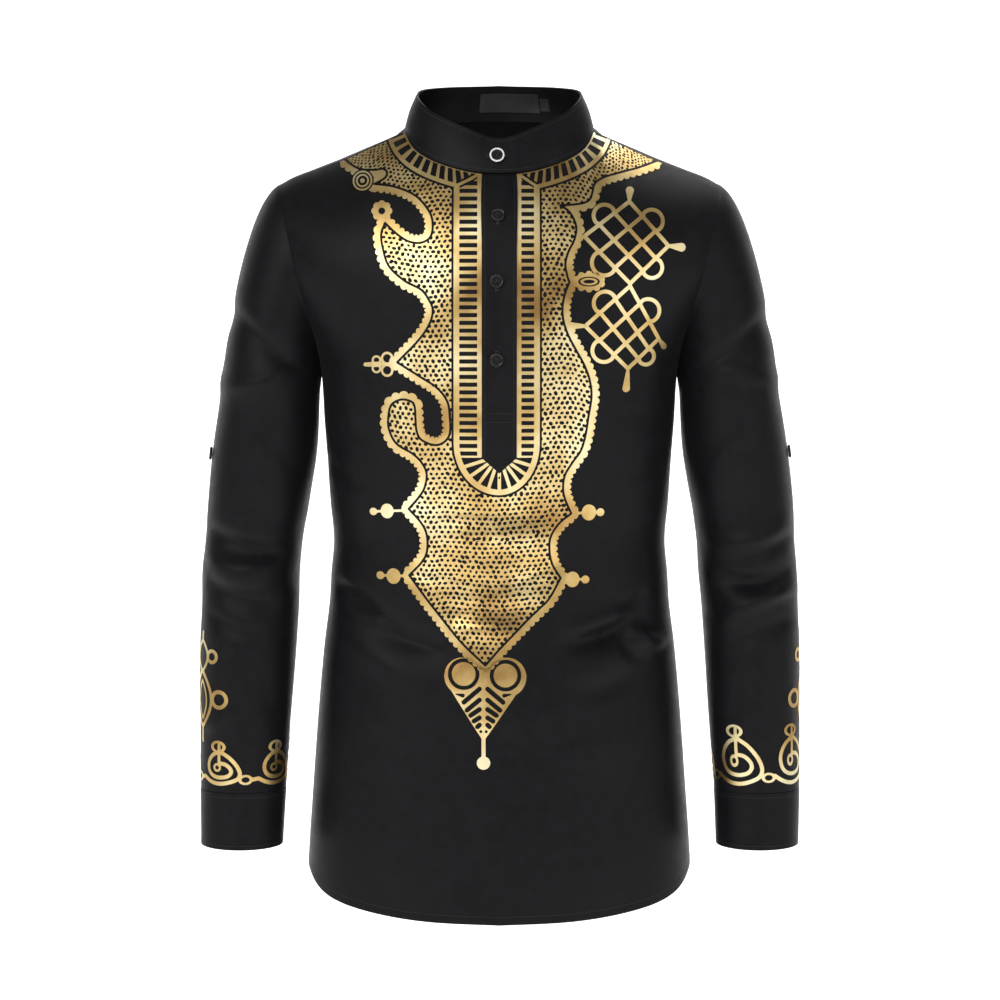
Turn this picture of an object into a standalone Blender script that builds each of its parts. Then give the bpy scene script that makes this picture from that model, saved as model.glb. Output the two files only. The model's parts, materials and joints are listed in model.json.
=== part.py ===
"""A long-sleeved dashiki shirt with a band collar and a half placket, filled out with no wearer.

Metres, +Z up, the front faces -Y. The origin is where the wearer's shoulders carry it: on the centre
line, level with the neck side of the shoulder seams.
Cloth is a wall along the normals of a middle surface. Every surface is a function of two shares, so a
seam's two pieces are read from the same line.
"""

import bpy
import numpy as np

for old in list(bpy.data.objects):
    bpy.data.objects.remove(old)

WALL = 0.0016  # shirt cloth, doubled at its seams
BAND_WALL = 0.0020  # collar band, two layers and interfacing
CUFF_WALL = 0.0022
LABEL_WALL = 0.0010
GAP = 0.0004  # between pieces at a seam
LEVEL_UNDERARM = -0.246
LEVEL_FULL_ARMHOLE = -0.140  # where the armhole is deepest from front to back
LEVEL_BICEPS = -0.262
LEVEL_CUFF = -0.6553
LEVEL_CUFF_END = -0.7120
PLACKET_HALF = 0.0165
SHARE_PLACKET, SHARE_NECK = 0.06, 0.42  # shares across half a panel
SHARE_PLACKET_END, SHARE_PLACKET_TIP = 0.8630, 0.8347  # shares of the way from hem to underarm
ARMHOLE_FRONT, ARMHOLE_BACK = 0.062, 0.060
ROUNDNESS = 2.3  # exponent of the body's cross-section, where 2 is an ellipse
SHARP_ANGLE = np.radians(50)
NECK_HALF, NECK_CENTRE, NECK_FRONT, NECK_BACK = 0.0928, -0.008, 0.066, 0.060
BAND_TOP_HALF, BAND_TOP_FRONT, BAND_TOP_BACK = 0.0805, 0.053, 0.0545
SEAM_Y_NECK, SEAM_Y_TIP = -0.014, -0.010

# Colour, roughness and metallic value.
MATERIALS = {
    "cloth": ((0.011, 0.011, 0.013), 0.62, 0.0),
    "button": ((0.010, 0.010, 0.012), 0.18, 0.0),
    "pearl_button": ((0.62, 0.62, 0.60), 0.30, 0.0),
    "label": ((0.014, 0.014, 0.016), 0.35, 0.0),
}


def table(columns, rows):
    return dict(zip(columns.split(), np.array(rows, float).T))


BODY = table(
    "z half front back",
    [
        (-0.800, 0.1935, 0.119, 0.122),
        (-0.729, 0.1912, 0.118, 0.121),
        (-0.649, 0.1858, 0.114, 0.118),
        (-0.569, 0.1797, 0.109, 0.113),
        (-0.509, 0.1740, 0.104, 0.105),
        (-0.469, 0.1690, 0.101, 0.097),
        (-0.440, 0.1672, 0.101, 0.094),
        (-0.409, 0.1645, 0.102, 0.093),
        (-0.369, 0.1677, 0.106, 0.097),
        (-0.329, 0.1702, 0.111, 0.104),
        (-0.289, 0.1732, 0.115, 0.111),
        (-0.246, 0.1757, 0.118, 0.116),
        (-0.215, 0.1795, 0.118, 0.118),
        (-0.180, 0.1880, 0.117, 0.119),
        (-0.140, 0.1985, 0.113, 0.118),
        (-0.100, 0.2050, 0.107, 0.114),
    ],
)
# The hem's height across a panel, its shoulder's height out along x, and the collar's two edges round
# the neck in degrees from the centre front.
HEM = table(
    "share z",
    [
        (0, -0.7750),
        (0.28, -0.7715),
        (0.456, -0.7655),
        (0.577, -0.7600),
        (0.671, -0.7540),
        (0.761, -0.7460),
        (0.832, -0.7390),
        (1, -0.7310),
    ],
)
RIDGE = table(
    "x z",
    [
        (0.0880, 0.0000),
        (0.1120, -0.0106),
        (0.1340, -0.0204),
        (0.1570, -0.0302),
        (0.1825, -0.0400),
        (0.2070, -0.0495),
        (0.2160, -0.0545),
    ],
)
NECK = table(
    "turn z",
    [
        (0, -0.0458),
        (11, -0.0450),
        (38, -0.0350),
        (60, -0.0220),
        (84, -0.0035),
        (100, 0.0015),
        (140, 0.0065),
        (180, 0.0085),
    ],
)
BAND_TOP = table(
    "turn z",
    [
        (-28, 0.0015),
        (0, -0.0115),
        (28, 0.0015),
        (50, 0.0135),
        (78, 0.0285),
        (100, 0.0360),
        (135, 0.0415),
        (180, 0.0440),
    ],
)
# How a panel's columns arrive at the top edge: turned towards the neck and rising to the front's or
# the back's edge, in degrees, and how far they run that way, as a share of their length.
LEAVE = table(
    "share inward rise front back front_run back_run",
    [
        (0.00, 0, 0.00, 52, 40, 1.05, 1.05),
        (0.10, 10, 0.06, 50, 38, 1.05, 1.05),
        (0.20, 20, 0.14, 44, 30, 1.05, 1.10),
        (0.30, 28, 0.24, 38, 18, 1.10, 1.25),
        (0.42, 29, 0.32, 33, 2, 1.25, 1.50),
        (0.55, 16, 0.35, 29, -10, 1.15, 1.32),
        (0.70, 5, 0.36, 25, -17, 1.07, 1.12),
        (1.00, 0, 0.36, 19, -20, 1.05, 1.05),
    ],
)
SLEEVE = table(
    "z left left_half right right_half y depth",
    [
        (-0.262, 0.2281, 0.0484, 0.2290, 0.0487, 0.000, 0.0630),
        (-0.319, 0.2341, 0.0513, 0.2356, 0.0517, 0.003, 0.0620),
        (-0.379, 0.2420, 0.0492, 0.2440, 0.0497, 0.004, 0.0590),
        (-0.409, 0.2455, 0.0478, 0.2465, 0.0482, 0.003, 0.0575),
        (-0.439, 0.2485, 0.0480, 0.2485, 0.0485, 0.001, 0.0560),
        (-0.470, 0.2490, 0.0478, 0.2505, 0.0475, -0.002, 0.0545),
        (-0.509, 0.2510, 0.0475, 0.2525, 0.0468, -0.006, 0.0520),
        (-0.589, 0.2540, 0.0443, 0.2550, 0.0443, -0.014, 0.0450),
        (-0.655, 0.2560, 0.0418, 0.2575, 0.0418, -0.020, 0.0385),
        (-0.7130, 0.2575, 0.0398, 0.2580, 0.0400, -0.025, 0.0365),
    ],
)

# Folds as seen from the front or the back: a line from (x0, z0) to (x1, z1) that bows sideways at its
# middle, with its half width and its height, where below 0 is a trough. Millimetres.
FOLD_COLUMNS = "x0 z0 x1 z1 bow half height"
FRONT_FOLDS = table(
    FOLD_COLUMNS,
    [
        (-168, -455, -40, -522, 6, 15, -5.0),
        (-165, -480, -60, -545, 8, 14, 3.5),
        (150, -470, 60, -515, -6, 15, -5.0),
        (160, -492, 45, -530, -8, 14, 3.5),
        (-150, -300, -120, -400, 8, 16, 3.0),
        (140, -280, 118, -390, -8, 16, 3.0),
        (-120, -560, 120, -556, 10, 22, 2.5),
    ],
)
BACK_FOLDS = table(
    FOLD_COLUMNS,
    [
        (160, -440, 30, -505, -8, 16, -5.0),
        (-158, -452, -35, -515, 7, 15, -4.5),
        (150, -480, 60, -540, -6, 15, 3.5),
        (-150, -490, -50, -560, 8, 15, 3.5),
        (-110, -180, -60, -330, 10, 20, 3.0),
        (112, -190, 64, -320, -10, 20, 3.0),
    ],
)
SLEEVE_FOLDS = {
    "left": table(
        FOLD_COLUMNS,
        [
            (-285, -165, -185, -238, 6, 13, -4.0),
            (-292, -250, -196, -236, 8, 15, 3.0),
            (-292, -400, -200, -424, 6, 12, -5.0),
            (-292, -432, -200, -428, 14, 12, 4.5),
            (-292, -452, -205, -466, 10, 12, -4.0),
            (-250, -330, -200, -395, -8, 16, 2.5),
        ],
    ),
    "right": table(
        FOLD_COLUMNS,
        [
            (285, -170, 183, -242, -6, 13, -4.0),
            (292, -390, 204, -412, -6, 12, 4.5),
            (296, -428, 204, -440, -12, 12, -5.0),
            (298, -442, 212, -486, 8, 12, 4.0),
            (248, -320, 202, -380, 8, 16, 2.5),
        ],
    ),
}


def smooth(at, x, y):
    """The table's value at each point: a cubic between neighbours, with slopes from the rows on each side."""
    slope = np.gradient(y, x)
    at = np.clip(at, x[0], x[-1])
    i = np.clip(np.searchsorted(x, at, side="right") - 1, 0, len(x) - 2)
    run = x[i + 1] - x[i]
    t = (at - x[i]) / run
    return hermite(y[i], slope[i] * run, y[i + 1], slope[i + 1] * run, t)


def hermite(p0, t0, p1, t1, t):
    return (
        (2 * t**3 - 3 * t**2 + 1) * p0
        + (t**3 - 2 * t**2 + t) * t0
        + (3 * t**2 - 2 * t**3) * p1
        + (t**3 - t**2) * t1
    )


def join(x, y, z):
    return np.stack(np.broadcast_arrays(x, y, z), axis=-1)


def ring(turn, power):
    """The two shares (sideways, forward) of a superellipse at an angle from the front."""
    k = (np.abs(np.sin(turn)) ** power + np.abs(np.cos(turn)) ** power) ** (-1 / power)
    return np.sin(turn) * k, np.cos(turn) * k


def angle_at(sideways, power):
    """The angle from the front at which a superellipse has come this share of the way to its side."""
    return np.arctan2(sideways, (1 - sideways**power) ** (1 / power))


def spread(s, inner, outer, at=SHARE_PLACKET, end=1.0):
    """An angle that runs from 0 to inner over the placket's share, then on to outer."""
    size = np.abs(s)
    return np.sign(s) * np.where(
        size < at, inner * size / at, inner + (outer - inner) * (size - at) / (end - at)
    )


def body_row(s, z, face):
    """A point of the body at this level, up to the deepest of the armhole. The row ends at the side seam,
    or at the armhole's edge."""
    front = face == "front"
    depth = smooth(z, BODY["z"], BODY[face])
    cut = ARMHOLE_FRONT if front else ARMHOLE_BACK
    to_full = np.clip((LEVEL_FULL_ARMHOLE - z) / (LEVEL_FULL_ARMHOLE - LEVEL_UNDERARM), 0, 1)
    edge = cut * (1 - to_full**1.6) / depth
    reach = (1 - edge**ROUNDNESS) ** (1 / ROUNDNESS)
    half = smooth(z, BODY["z"], BODY["half"]) / reach
    turn = spread(s, angle_at(PLACKET_HALF / half, ROUNDNESS), np.arctan2(reach, edge))
    sideways, forward = ring(turn, ROUNDNESS)
    return join(half * sideways, (-depth if front else depth) * forward, z)


def neck(turn):
    """A point of the neck seam at an angle in radians from the centre front."""
    turn = (turn + np.pi) % (2 * np.pi) - np.pi
    sideways, forward = ring(turn, 2.1)
    y = NECK_CENTRE - np.where(forward > 0, NECK_FRONT, NECK_BACK) * forward
    return join(NECK_HALF * sideways, y, smooth(np.degrees(np.abs(turn)), NECK["turn"], NECK["z"]))


TURN_PLACKET = angle_at(PLACKET_HALF / NECK_HALF, 2.1)
TURN_SHOULDER = np.radians(84.6)


def top_edge(s, face):
    """A point of a panel's top edge: the neck seam out to the shoulder, then the shoulder seam."""
    size = np.abs(s)
    if face == "front":
        turn = spread(s, TURN_PLACKET, TURN_SHOULDER, end=SHARE_NECK)
    else:
        turn = np.pi - spread(s, TURN_PLACKET, np.pi - TURN_SHOULDER, end=SHARE_NECK)
    round_neck = neck(turn)
    start = neck(TURN_SHOULDER)
    along = np.clip((size - SHARE_NECK) / (1 - SHARE_NECK), 0, 1)
    x = start[0] + (0.2155 - start[0]) * along
    z = smooth(x, RIDGE["x"], RIDGE["z"]) - 0.0025
    z = z + (start[2] - smooth(start[0], RIDGE["x"], RIDGE["z"]) + 0.0025) * (1 - along) ** 4
    shoulder = join(np.sign(s) * x, SEAM_Y_NECK + (SEAM_Y_TIP - SEAM_Y_NECK) * along, z)
    return np.where((size <= SHARE_NECK)[..., None], round_neck, shoulder)


def plain_panel(face, s, w):
    """A point of the front or back with no folds. s is the share across, from -1 to 1. w is 0 at the hem,
    1 at the underarm, 2 at the deepest of the armhole and 3 at the neck and shoulder. Between 2 and 3 the
    top edge's corner at the neck is blurred, less and less towards it."""
    s, w = np.broadcast_arrays(np.asarray(s, float), np.asarray(w, float))
    hem = smooth(np.abs(s), HEM["share"], HEM["z"])
    low = hem + (LEVEL_UNDERARM - hem) * np.clip(w, 0, 1)
    mid = LEVEL_UNDERARM + (LEVEL_FULL_ARMHOLE - LEVEL_UNDERARM) * np.clip(w - 1, 0, 1)
    rows = body_row(s, np.where(w < 1, low, mid), face)
    start = body_row(s, np.full(s.shape, LEVEL_FULL_ARMHOLE), face)
    step = 0.004
    rise = (start - body_row(s, np.full(s.shape, LEVEL_FULL_ARMHOLE - step), face)) / step
    t = np.clip(w - 2, 0, 1)
    blur = 0.12 * (1 - t) * np.clip((1 - np.abs(s)) / 0.3, 0, 1)
    blur = blur * np.clip((np.abs(s) - SHARE_PLACKET) / 0.2, 0, 1)
    end = sum((5 - abs(k)) / 25 * top_edge(s + blur * k / 4, face) for k in range(-4, 5))
    inward = np.radians(smooth(np.abs(s), LEAVE["share"], LEAVE["inward"]))
    rise_in = smooth(np.abs(s), LEAVE["share"], LEAVE["rise"])
    tilt = np.radians(smooth(np.abs(s), LEAVE["share"], LEAVE[face]))
    leave = join(
        -np.sign(s) * np.sin(inward),
        np.cos(inward) * (1 if face == "front" else -1),
        np.sin(inward) * rise_in + np.cos(inward) * np.tan(tilt),
    )
    leave = leave / np.linalg.norm(leave, axis=-1, keepdims=True)
    span = np.linalg.norm(end - start, axis=-1, keepdims=True)
    run = smooth(np.abs(s), LEAVE["share"], LEAVE[face + "_run"])[..., None]
    upper = hermite(start, rise * span, end, leave * span * run, t[..., None])
    return np.where((w < 2)[..., None], rows, upper)


def folds(p, rows):
    """How far folds move each point: each row's height times a bell across its line, fading to nothing
    at its ends."""
    x, z = 1000 * p[..., 0], 1000 * p[..., 2]
    moved = np.zeros(x.shape)
    for x0, z0, x1, z1, bow, half, height in zip(*rows.values()):
        dx, dz = x1 - x0, z1 - z0
        length = np.hypot(dx, dz)
        along = ((x - x0) * dx + (z - z0) * dz) / length**2
        inside = np.clip(along, 0, 1)
        off = ((x - x0) * dz - (z - z0) * dx) / length - bow * 4 * inside * (1 - inside)
        moved += height * np.exp(-((off / half) ** 2)) * (16 * inside**2 * (1 - inside) ** 2) ** 0.6
    return moved / 1000


def normal(surface, s, w, low, high):
    """Unit normals by central differences that stay between the edges."""
    step = 2e-3
    a = surface(np.clip(s + step, low[0], high[0]), w) - surface(np.clip(s - step, low[0], high[0]), w)
    b = surface(s, np.clip(w + step, low[1], high[1])) - surface(s, np.clip(w - step, low[1], high[1]))
    n = np.cross(a, b)
    return n / np.linalg.norm(n, axis=-1, keepdims=True)


def panel(face, s, w):
    """A point of the front or back with its folds, which fade before the seams."""
    s, w = np.broadcast_arrays(np.asarray(s, float), np.asarray(w, float))
    bare = lambda a, b: plain_panel(face, a, b)
    p = bare(s, w)
    n = normal(bare, s, w, (-1, 0), (1, 3)) * (1 if face == "front" else -1)
    fade = np.clip((1 - np.abs(s)) / 0.12, 0, 1) * np.clip((3 - w) / 0.5, 0, 1)
    rows = FRONT_FOLDS if face == "front" else BACK_FOLDS
    return p + n * (folds(p, rows) * fade * fade * (3 - 2 * fade))[..., None]


def panel_normal(face, s, w):
    n = normal(lambda a, b: panel(face, a, b), s, w, (-1, 0), (1, 3))
    return n * (1 if face == "front" else -1)


EDGE_STEPS = 1 + np.linspace(0, 2, 161)


def edge_share(face):
    """The armhole edge's length up to each of EDGE_STEPS, as a share of the whole."""
    p = plain_panel(face, np.ones(len(EDGE_STEPS)), EDGE_STEPS)
    run = np.concatenate([[0], np.cumsum(np.linalg.norm(np.diff(p, axis=0), axis=1))])
    return run / run[-1]


EDGE_SHARE = {face: edge_share(face) for face in ("front", "back")}


def sleeve_ring(side, q, z):
    """A point of a sleeve's level cross-section. q is 0 at the inside of the arm, 0.5 at the front, 1 at
    the outside and 1.5 at the back."""
    name = "left" if side < 0 else "right"
    centre = smooth(z, SLEEVE["z"][::-1], SLEEVE[name][::-1])
    half = smooth(z, SLEEVE["z"][::-1], SLEEVE[name + "_half"][::-1])
    y = smooth(z, SLEEVE["z"][::-1], SLEEVE["y"][::-1])
    depth = smooth(z, SLEEVE["z"][::-1], SLEEVE["depth"][::-1])
    return join(side * (centre - half * np.cos(np.pi * q)), y - depth * np.sin(np.pi * q), z)


def plain_sleeve(side, q, r):
    """A point of a sleeve with no folds. r is 0 at the armhole, 1 at the biceps and 2 at the cuff seam."""
    q, r = np.broadcast_arrays(np.asarray(q, float), np.asarray(r, float))
    q = q % 2
    up = np.minimum(q, 2 - q)
    edge = np.empty(q.shape + (3,))
    for face, part in (("front", q <= 1), ("back", q > 1)):
        w = np.interp(up[part], EDGE_SHARE[face], EDGE_STEPS)
        edge[part] = plain_panel(face, np.full(w.shape, float(side)), w)
    top = np.sin(up * np.pi / 2) ** 2
    edge[..., 0] += side * (GAP + WALL * (0.15 + 1.05 * (1 - top)))
    biceps = sleeve_ring(side, q, LEVEL_BICEPS)
    span = np.linalg.norm(biceps - edge, axis=-1, keepdims=True)
    slope = np.radians(88 - 66 * top)
    leave = join(side * np.cos(slope), 0 * slope, -np.sin(slope)) * span * (0.75 - 0.28 * top)[..., None]
    arrive = join(side * 0.09 + 0 * q, 0 * q, -1.0) * span
    cap = hermite(edge, leave, biceps, arrive, np.clip(r, 0, 1)[..., None])
    tube = sleeve_ring(side, q, LEVEL_BICEPS + (LEVEL_CUFF - LEVEL_BICEPS) * np.clip(r - 1, 0, 1))
    return np.where((r < 1)[..., None], cap, tube)


def sleeve(side, q, r):
    """A point of a sleeve with its folds, the same ones a little lower round the back."""
    q, r = np.broadcast_arrays(np.asarray(q, float), np.asarray(r, float))
    bare = lambda a, b: plain_sleeve(side, a, b)
    p = bare(q, r)
    n = normal(bare, q, r, (-9, 0), (9, 2)) * -side
    behind = np.clip(-np.sin(np.pi * q), 0, 1)
    seen = p + join(0, 0, 0.014) * behind[..., None]
    fade = np.clip(r / 0.35, 0, 1) * np.clip((2 - r) / 0.15, 0, 1)
    return p + n * (folds(seen, SLEEVE_FOLDS["left" if side < 0 else "right"]) * fade)[..., None]


def sleeve_normal(side, q, r):
    return normal(lambda a, b: sleeve(side, a, b), q, r, (-9, 0), (9, 2)) * -side


def cuff(side, q, v, lap):
    """A point of a cuff, v from 0 at its seam to 1 at its end, lifted by lap where one end lies over the
    other."""
    q, v, lap = np.broadcast_arrays(q, v, lap)
    end = LEVEL_CUFF_END + 0.0015 * (1 - np.sin(np.pi * q))
    start = LEVEL_CUFF - 1.25 * GAP
    z = start + (end - start) * v
    p = sleeve_ring(side, q, z)
    out = np.stack([-side * np.cos(np.pi * q), -np.sin(np.pi * q), 0 * q], axis=-1)
    return p + out * lap[..., None]


def band(turn, v, lap):
    """A point of the collar band at an angle from the centre front, v from 0 at the neck seam to 1 at its
    top edge."""
    turn, v, lap = (np.asarray(a, float) for a in np.broadcast_arrays(turn, v, lap))
    low = neck(turn)
    turn = (turn + np.pi) % (2 * np.pi) - np.pi
    sideways, forward = ring(turn, 2.1)
    y = NECK_CENTRE - np.where(forward > 0, BAND_TOP_FRONT, BAND_TOP_BACK) * forward
    top = smooth(np.degrees(np.abs(turn)), BAND_TOP["turn"], BAND_TOP["z"])
    high = join(BAND_TOP_HALF * sideways, y, top)
    rise = high - low
    low = low + 0.0015 * rise / np.linalg.norm(rise, axis=-1, keepdims=True)
    out = np.stack([sideways, -forward, 0 * sideways], axis=-1)
    out = out / np.linalg.norm(out, axis=-1, keepdims=True)
    bulge = 0.0015 * np.sin(np.pi * v)
    return low + (high - low) * v[..., None] + out * (bulge + lap)[..., None]


def on_front(x, z, lift):
    """The front panel's point seen at (x, z) from the front, moved out, and its normal."""
    s, w = 3 * x, 1 + (z - LEVEL_UNDERARM) / (0.1 if z > LEVEL_UNDERARM else 0.5)
    for _ in range(30):
        p = panel("front", s, w)
        ds = (panel("front", s + 1e-3, w) - p)[[0, 2]] / 1e-3
        dw = (panel("front", s, w + 1e-3) - p)[[0, 2]] / 1e-3
        step = np.linalg.solve(np.stack([ds, dw], axis=1), np.array([x, z]) - p[[0, 2]])
        s, w = s + np.clip(step[0], -0.1, 0.1), w + np.clip(step[1], -0.2, 0.2)
    n = panel_normal("front", s, w)
    return panel("front", s, w) + n * lift, n


def band_facet(turn, v):
    """A point on the band's own flat faces, between its columns and rows."""
    keep = slice(2, -2)
    columns = TURNS[keep][::-1] + 2 * np.pi
    grid = [band(columns, row, 0) for row in (0.0, 0.5, 1.0)]
    lines = [np.stack([np.interp(turn, columns, g[:, i]) for i in range(3)], axis=-1) for g in grid]
    share = np.clip(2 * v, 0, 1)[..., None], np.clip(2 * v - 1, 0, 1)[..., None]
    return lines[0] + (lines[1] - lines[0]) * share[0] + (lines[2] - lines[1]) * share[1]


def material(name):
    """The material of this name, a Principled BSDF with its colour, roughness and metallic value."""
    made = bpy.data.materials.get(name) or bpy.data.materials.new(name)
    made.use_nodes = True
    shader = made.node_tree.nodes["Principled BSDF"]
    colour, roughness, metallic = MATERIALS[name]
    shader.inputs["Base Color"].default_value = (*colour, 1)
    shader.inputs["Roughness"].default_value = roughness
    shader.inputs["Metallic"].default_value = metallic
    made.diffuse_color = (*colour, 1)
    return made


def node(name, points, faces, finish):
    """A named object of these triangles, with its material, shaded smooth up to an angle."""
    mesh = bpy.data.meshes.new(name)
    mesh.from_pydata(points.tolist(), [], faces.tolist())
    mesh.update()
    mesh.shade_smooth()
    mesh.set_sharp_from_angle(angle=SHARP_ANGLE)
    mesh.materials.append(material(finish))
    bpy.context.collection.objects.link(bpy.data.objects.new(name, mesh))


def solid(name, points, normals, wall, finish="cloth", closed=False):
    """A cloth piece as one closed object: the grid moved out and in by half a wall, joined round its rims,
    each cell split along its shorter diagonal. With closed, the last column meets the first."""
    rows, columns = points.shape[:2]
    at = np.arange(rows * columns).reshape(rows, columns)
    if closed:
        at = np.concatenate([at, at[:, :1]], axis=1)
    a, b, c, d = at[:-1, :-1], at[:-1, 1:], at[1:, 1:], at[1:, :-1]
    flat = points.reshape(-1, 3)
    ac = np.linalg.norm(flat[a] - flat[c], axis=-1)
    bd = np.linalg.norm(flat[b] - flat[d], axis=-1)
    short = (ac <= bd + 1e-4)[..., None]
    one = np.where(short, np.stack([a, b, c], -1), np.stack([a, b, d], -1))
    two = np.where(short, np.stack([a, c, d], -1), np.stack([b, c, d], -1))
    faces = np.concatenate([one.reshape(-1, 3), two.reshape(-1, 3)])
    outer = points + normals * wall / 2
    inside_out = np.cross(points[0, 1] - points[0, 0], points[1, 1] - points[0, 0]) @ normals[0, 0] < 0
    if inside_out:
        faces = faces[:, ::-1]
    inner = faces[:, ::-1] + rows * columns
    rims = [at[0], at[-1][::-1]] + ([] if closed else [at[::-1, 0], at[:, -1]])
    sides = []
    for line in rims:
        p, q = (line[:-1], line[1:]) if inside_out else (line[1:], line[:-1])
        low = rows * columns
        sides += [np.stack([p, q, q + low], -1), np.stack([p, q + low, p + low], -1)]
    faces = np.concatenate([faces, inner, *sides])
    both = np.concatenate([outer.reshape(-1, 3), (points - normals * wall / 2).reshape(-1, 3)])
    node(name, both, faces, finish)


def turned(name, centre, axis, profile, finish="button", sides=14):
    """A turned piece such as a button: a profile of (radius, height) from the middle of its back to the
    middle of its face."""
    axis = axis / np.linalg.norm(axis)
    u = np.cross(axis, (0.0, 0.0, 1.0))
    u = u / np.linalg.norm(u)
    v = np.cross(axis, u)
    round_it = 2 * np.pi * np.arange(sides) / sides
    out = np.cos(round_it)[:, None] * u + np.sin(round_it)[:, None] * v
    rings = [centre + axis * h + out * r for r, h in profile[1:-1]]
    points = np.concatenate([[centre + axis * profile[0][1]], *rings, [centre + axis * profile[-1][1]]])
    k = np.arange(sides)
    nxt = (k + 1) % sides
    faces = [np.stack([0 * k, 1 + nxt, 1 + k], -1)]
    for i in range(len(rings) - 1):
        a, b = 1 + i * sides, 1 + (i + 1) * sides
        faces += [np.stack([a + k, a + nxt, b + nxt], -1), np.stack([a + k, b + nxt, b + k], -1)]
    last = 1 + (len(rings) - 1) * sides
    faces.append(np.stack([last + k, last + nxt, 0 * k + len(points) - 1], -1))
    faces = np.concatenate(faces)
    if np.linalg.det(points[faces] - points.mean(axis=0)).sum() < 0:
        faces = faces[:, ::-1]
    node(name, points, faces, finish)


def mirrored(shares):
    half = np.array(shares)
    return np.concatenate([-half[::-1], half[1:]])


# Front and back. Columns stop at the placket's edges and the neck, rows are closest at the waist and
# the armhole.
NECK_SHARES = [SHARE_PLACKET, 0.12, 0.18, 0.24, 0.30, 0.36, SHARE_NECK]
ACROSS = mirrored([0, *NECK_SHARES, 0.54, 0.66, 0.78, 0.89, 1])
UP_HEM = [0, 0.06, 0.14, 0.22, 0.30, 0.38]
UP_WAIST = [0.45, 0.505, 0.55, 0.595, 0.64, 0.69, 0.75, SHARE_PLACKET_END, 0.915]
UP_ARMHOLE = np.concatenate([np.linspace(1, 2, 5), np.linspace(2, 3, 6)[1:]])
UP = np.concatenate([UP_HEM, UP_WAIST, UP_ARMHOLE])
# Each panel stands back half a gap from the side and shoulder seams.
for face, sign in (("front", -1), ("back", 1)):
    s, w = np.meshgrid(ACROSS, UP)
    points = panel(face, s, w)
    normals = panel_normal(face, s, w)
    low = w[:, 0] <= 1
    for column in (0, -1):
        points[low, column, 1] += sign * (GAP / 2 + 0.0001)
    seam = np.abs(ACROSS) >= SHARE_NECK
    points[-1, seam, 1] += sign * (GAP / 2 + 0.0001)
    solid(face, points, normals, WALL)

# Sleeves. Their columns start at the armhole's own rows, and their rows are closest at the elbow.
front_q = np.interp(UP_ARMHOLE, EDGE_STEPS, EDGE_SHARE["front"])
back_q = 2 - np.interp(UP_ARMHOLE, EDGE_STEPS, EDGE_SHARE["back"])[::-1]
ROUND = np.concatenate([front_q, back_q[1:-1]])
DOWN_CAP = [0, 0.12, 0.26, 0.42, 0.60, 0.80]
DOWN_UPPER = [1, 1.075, 1.15, 1.215, 1.27, 1.31]
DOWN_ELBOW = np.arange(1.345, 1.521, 0.035)
DOWN_LOWER = [1.56, 1.62, 1.69, 1.77, 1.85, 1.925, 2]
DOWN = np.concatenate([DOWN_CAP, DOWN_UPPER, DOWN_ELBOW, DOWN_LOWER])
for name, side in (("sleeve_left", -1), ("sleeve_right", 1)):
    q, r = np.meshgrid(ROUND, DOWN)
    solid(name, sleeve(side, q, r), sleeve_normal(side, q, r), WALL, closed=True)

# Cuffs: each strip starts under its lap on the inner back and ends over it.
CUFF_START, CUFF_RISE, CUFF_LAP = 1.62, 1.72, 0.20
LIFT = CUFF_WALL + GAP + 0.0003
for name, side in (("cuff_left", -1), ("cuff_right", 1)):
    around = np.linspace(0, CUFF_RISE, 22), np.linspace(CUFF_RISE, 2, 5)[1:]
    along = np.concatenate([*around, 2 + np.linspace(0, CUFF_LAP, 4)[1:]])
    lift = LIFT * np.clip((along - CUFF_RISE) / 0.26, 0, 1)
    q, v = np.meshgrid(CUFF_START + along, [0, 0.5, 0.84, 1])
    end = 2 + CUFF_LAP - along
    corner = 0.18 * np.clip(1 - end / 0.07, 0, 1) ** 2
    v = v - corner * (v == 1)
    points = cuff(side, q, v, lift + 0 * q)
    normals = np.stack([-side * np.cos(np.pi * q), -np.sin(np.pi * q), 0 * q], axis=-1)
    solid(name, points, normals, CUFF_WALL)

# Collar band: it starts under the lap at the placket's edge on +X and ends over it at the other edge.
turn_front = spread(np.array(NECK_SHARES), TURN_PLACKET, TURN_SHOULDER, end=SHARE_NECK)
behind = ACROSS[np.abs(ACROSS) < SHARE_NECK]
turn_back = np.pi - spread(behind, TURN_PLACKET, np.pi - TURN_SHOULDER, end=SHARE_NECK)
TURNS = np.concatenate(
    [
        [turn_front[0], 0],
        -turn_front,
        turn_back - 2 * np.pi,
        turn_front[::-1] - 2 * np.pi,
        [-2 * np.pi, -turn_front[0] - 2 * np.pi],
    ]
)
BAND_LIFT = BAND_WALL + GAP + 0.0002
after = TURNS + 2 * np.pi
lift = BAND_LIFT * np.clip((turn_front[3] - after) / (turn_front[3] - turn_front[0]), 0, 1)
turn, v = np.meshgrid(TURNS, [0, 0.5, 1])
points = band(turn, v, lift + 0 * turn)
normals = normal(lambda a, b: band(a, b, 0), turn, v, (-99, 0), (99, 1))
if (normals[..., 0] * points[..., 0]).sum() < 0:
    normals = -normals
solid("collar_band", points, normals, BAND_WALL)

# Placket: a pointed strip on the front panel's own points, moved out.
over = WALL / 2 + GAP + 0.0002 + WALL / 2
rows = np.concatenate([UP[(UP > SHARE_PLACKET_END) & (UP < 2.95)], [2.955]])
s, w = np.meshgrid([-SHARE_PLACKET, 0, SHARE_PLACKET], np.concatenate([[SHARE_PLACKET_END], rows]))
w[0, 1] = SHARE_PLACKET_TIP
centre = panel("front", s, w)
out = panel_normal("front", s, w)
solid("placket", centre + out * over, out, WALL)

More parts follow.
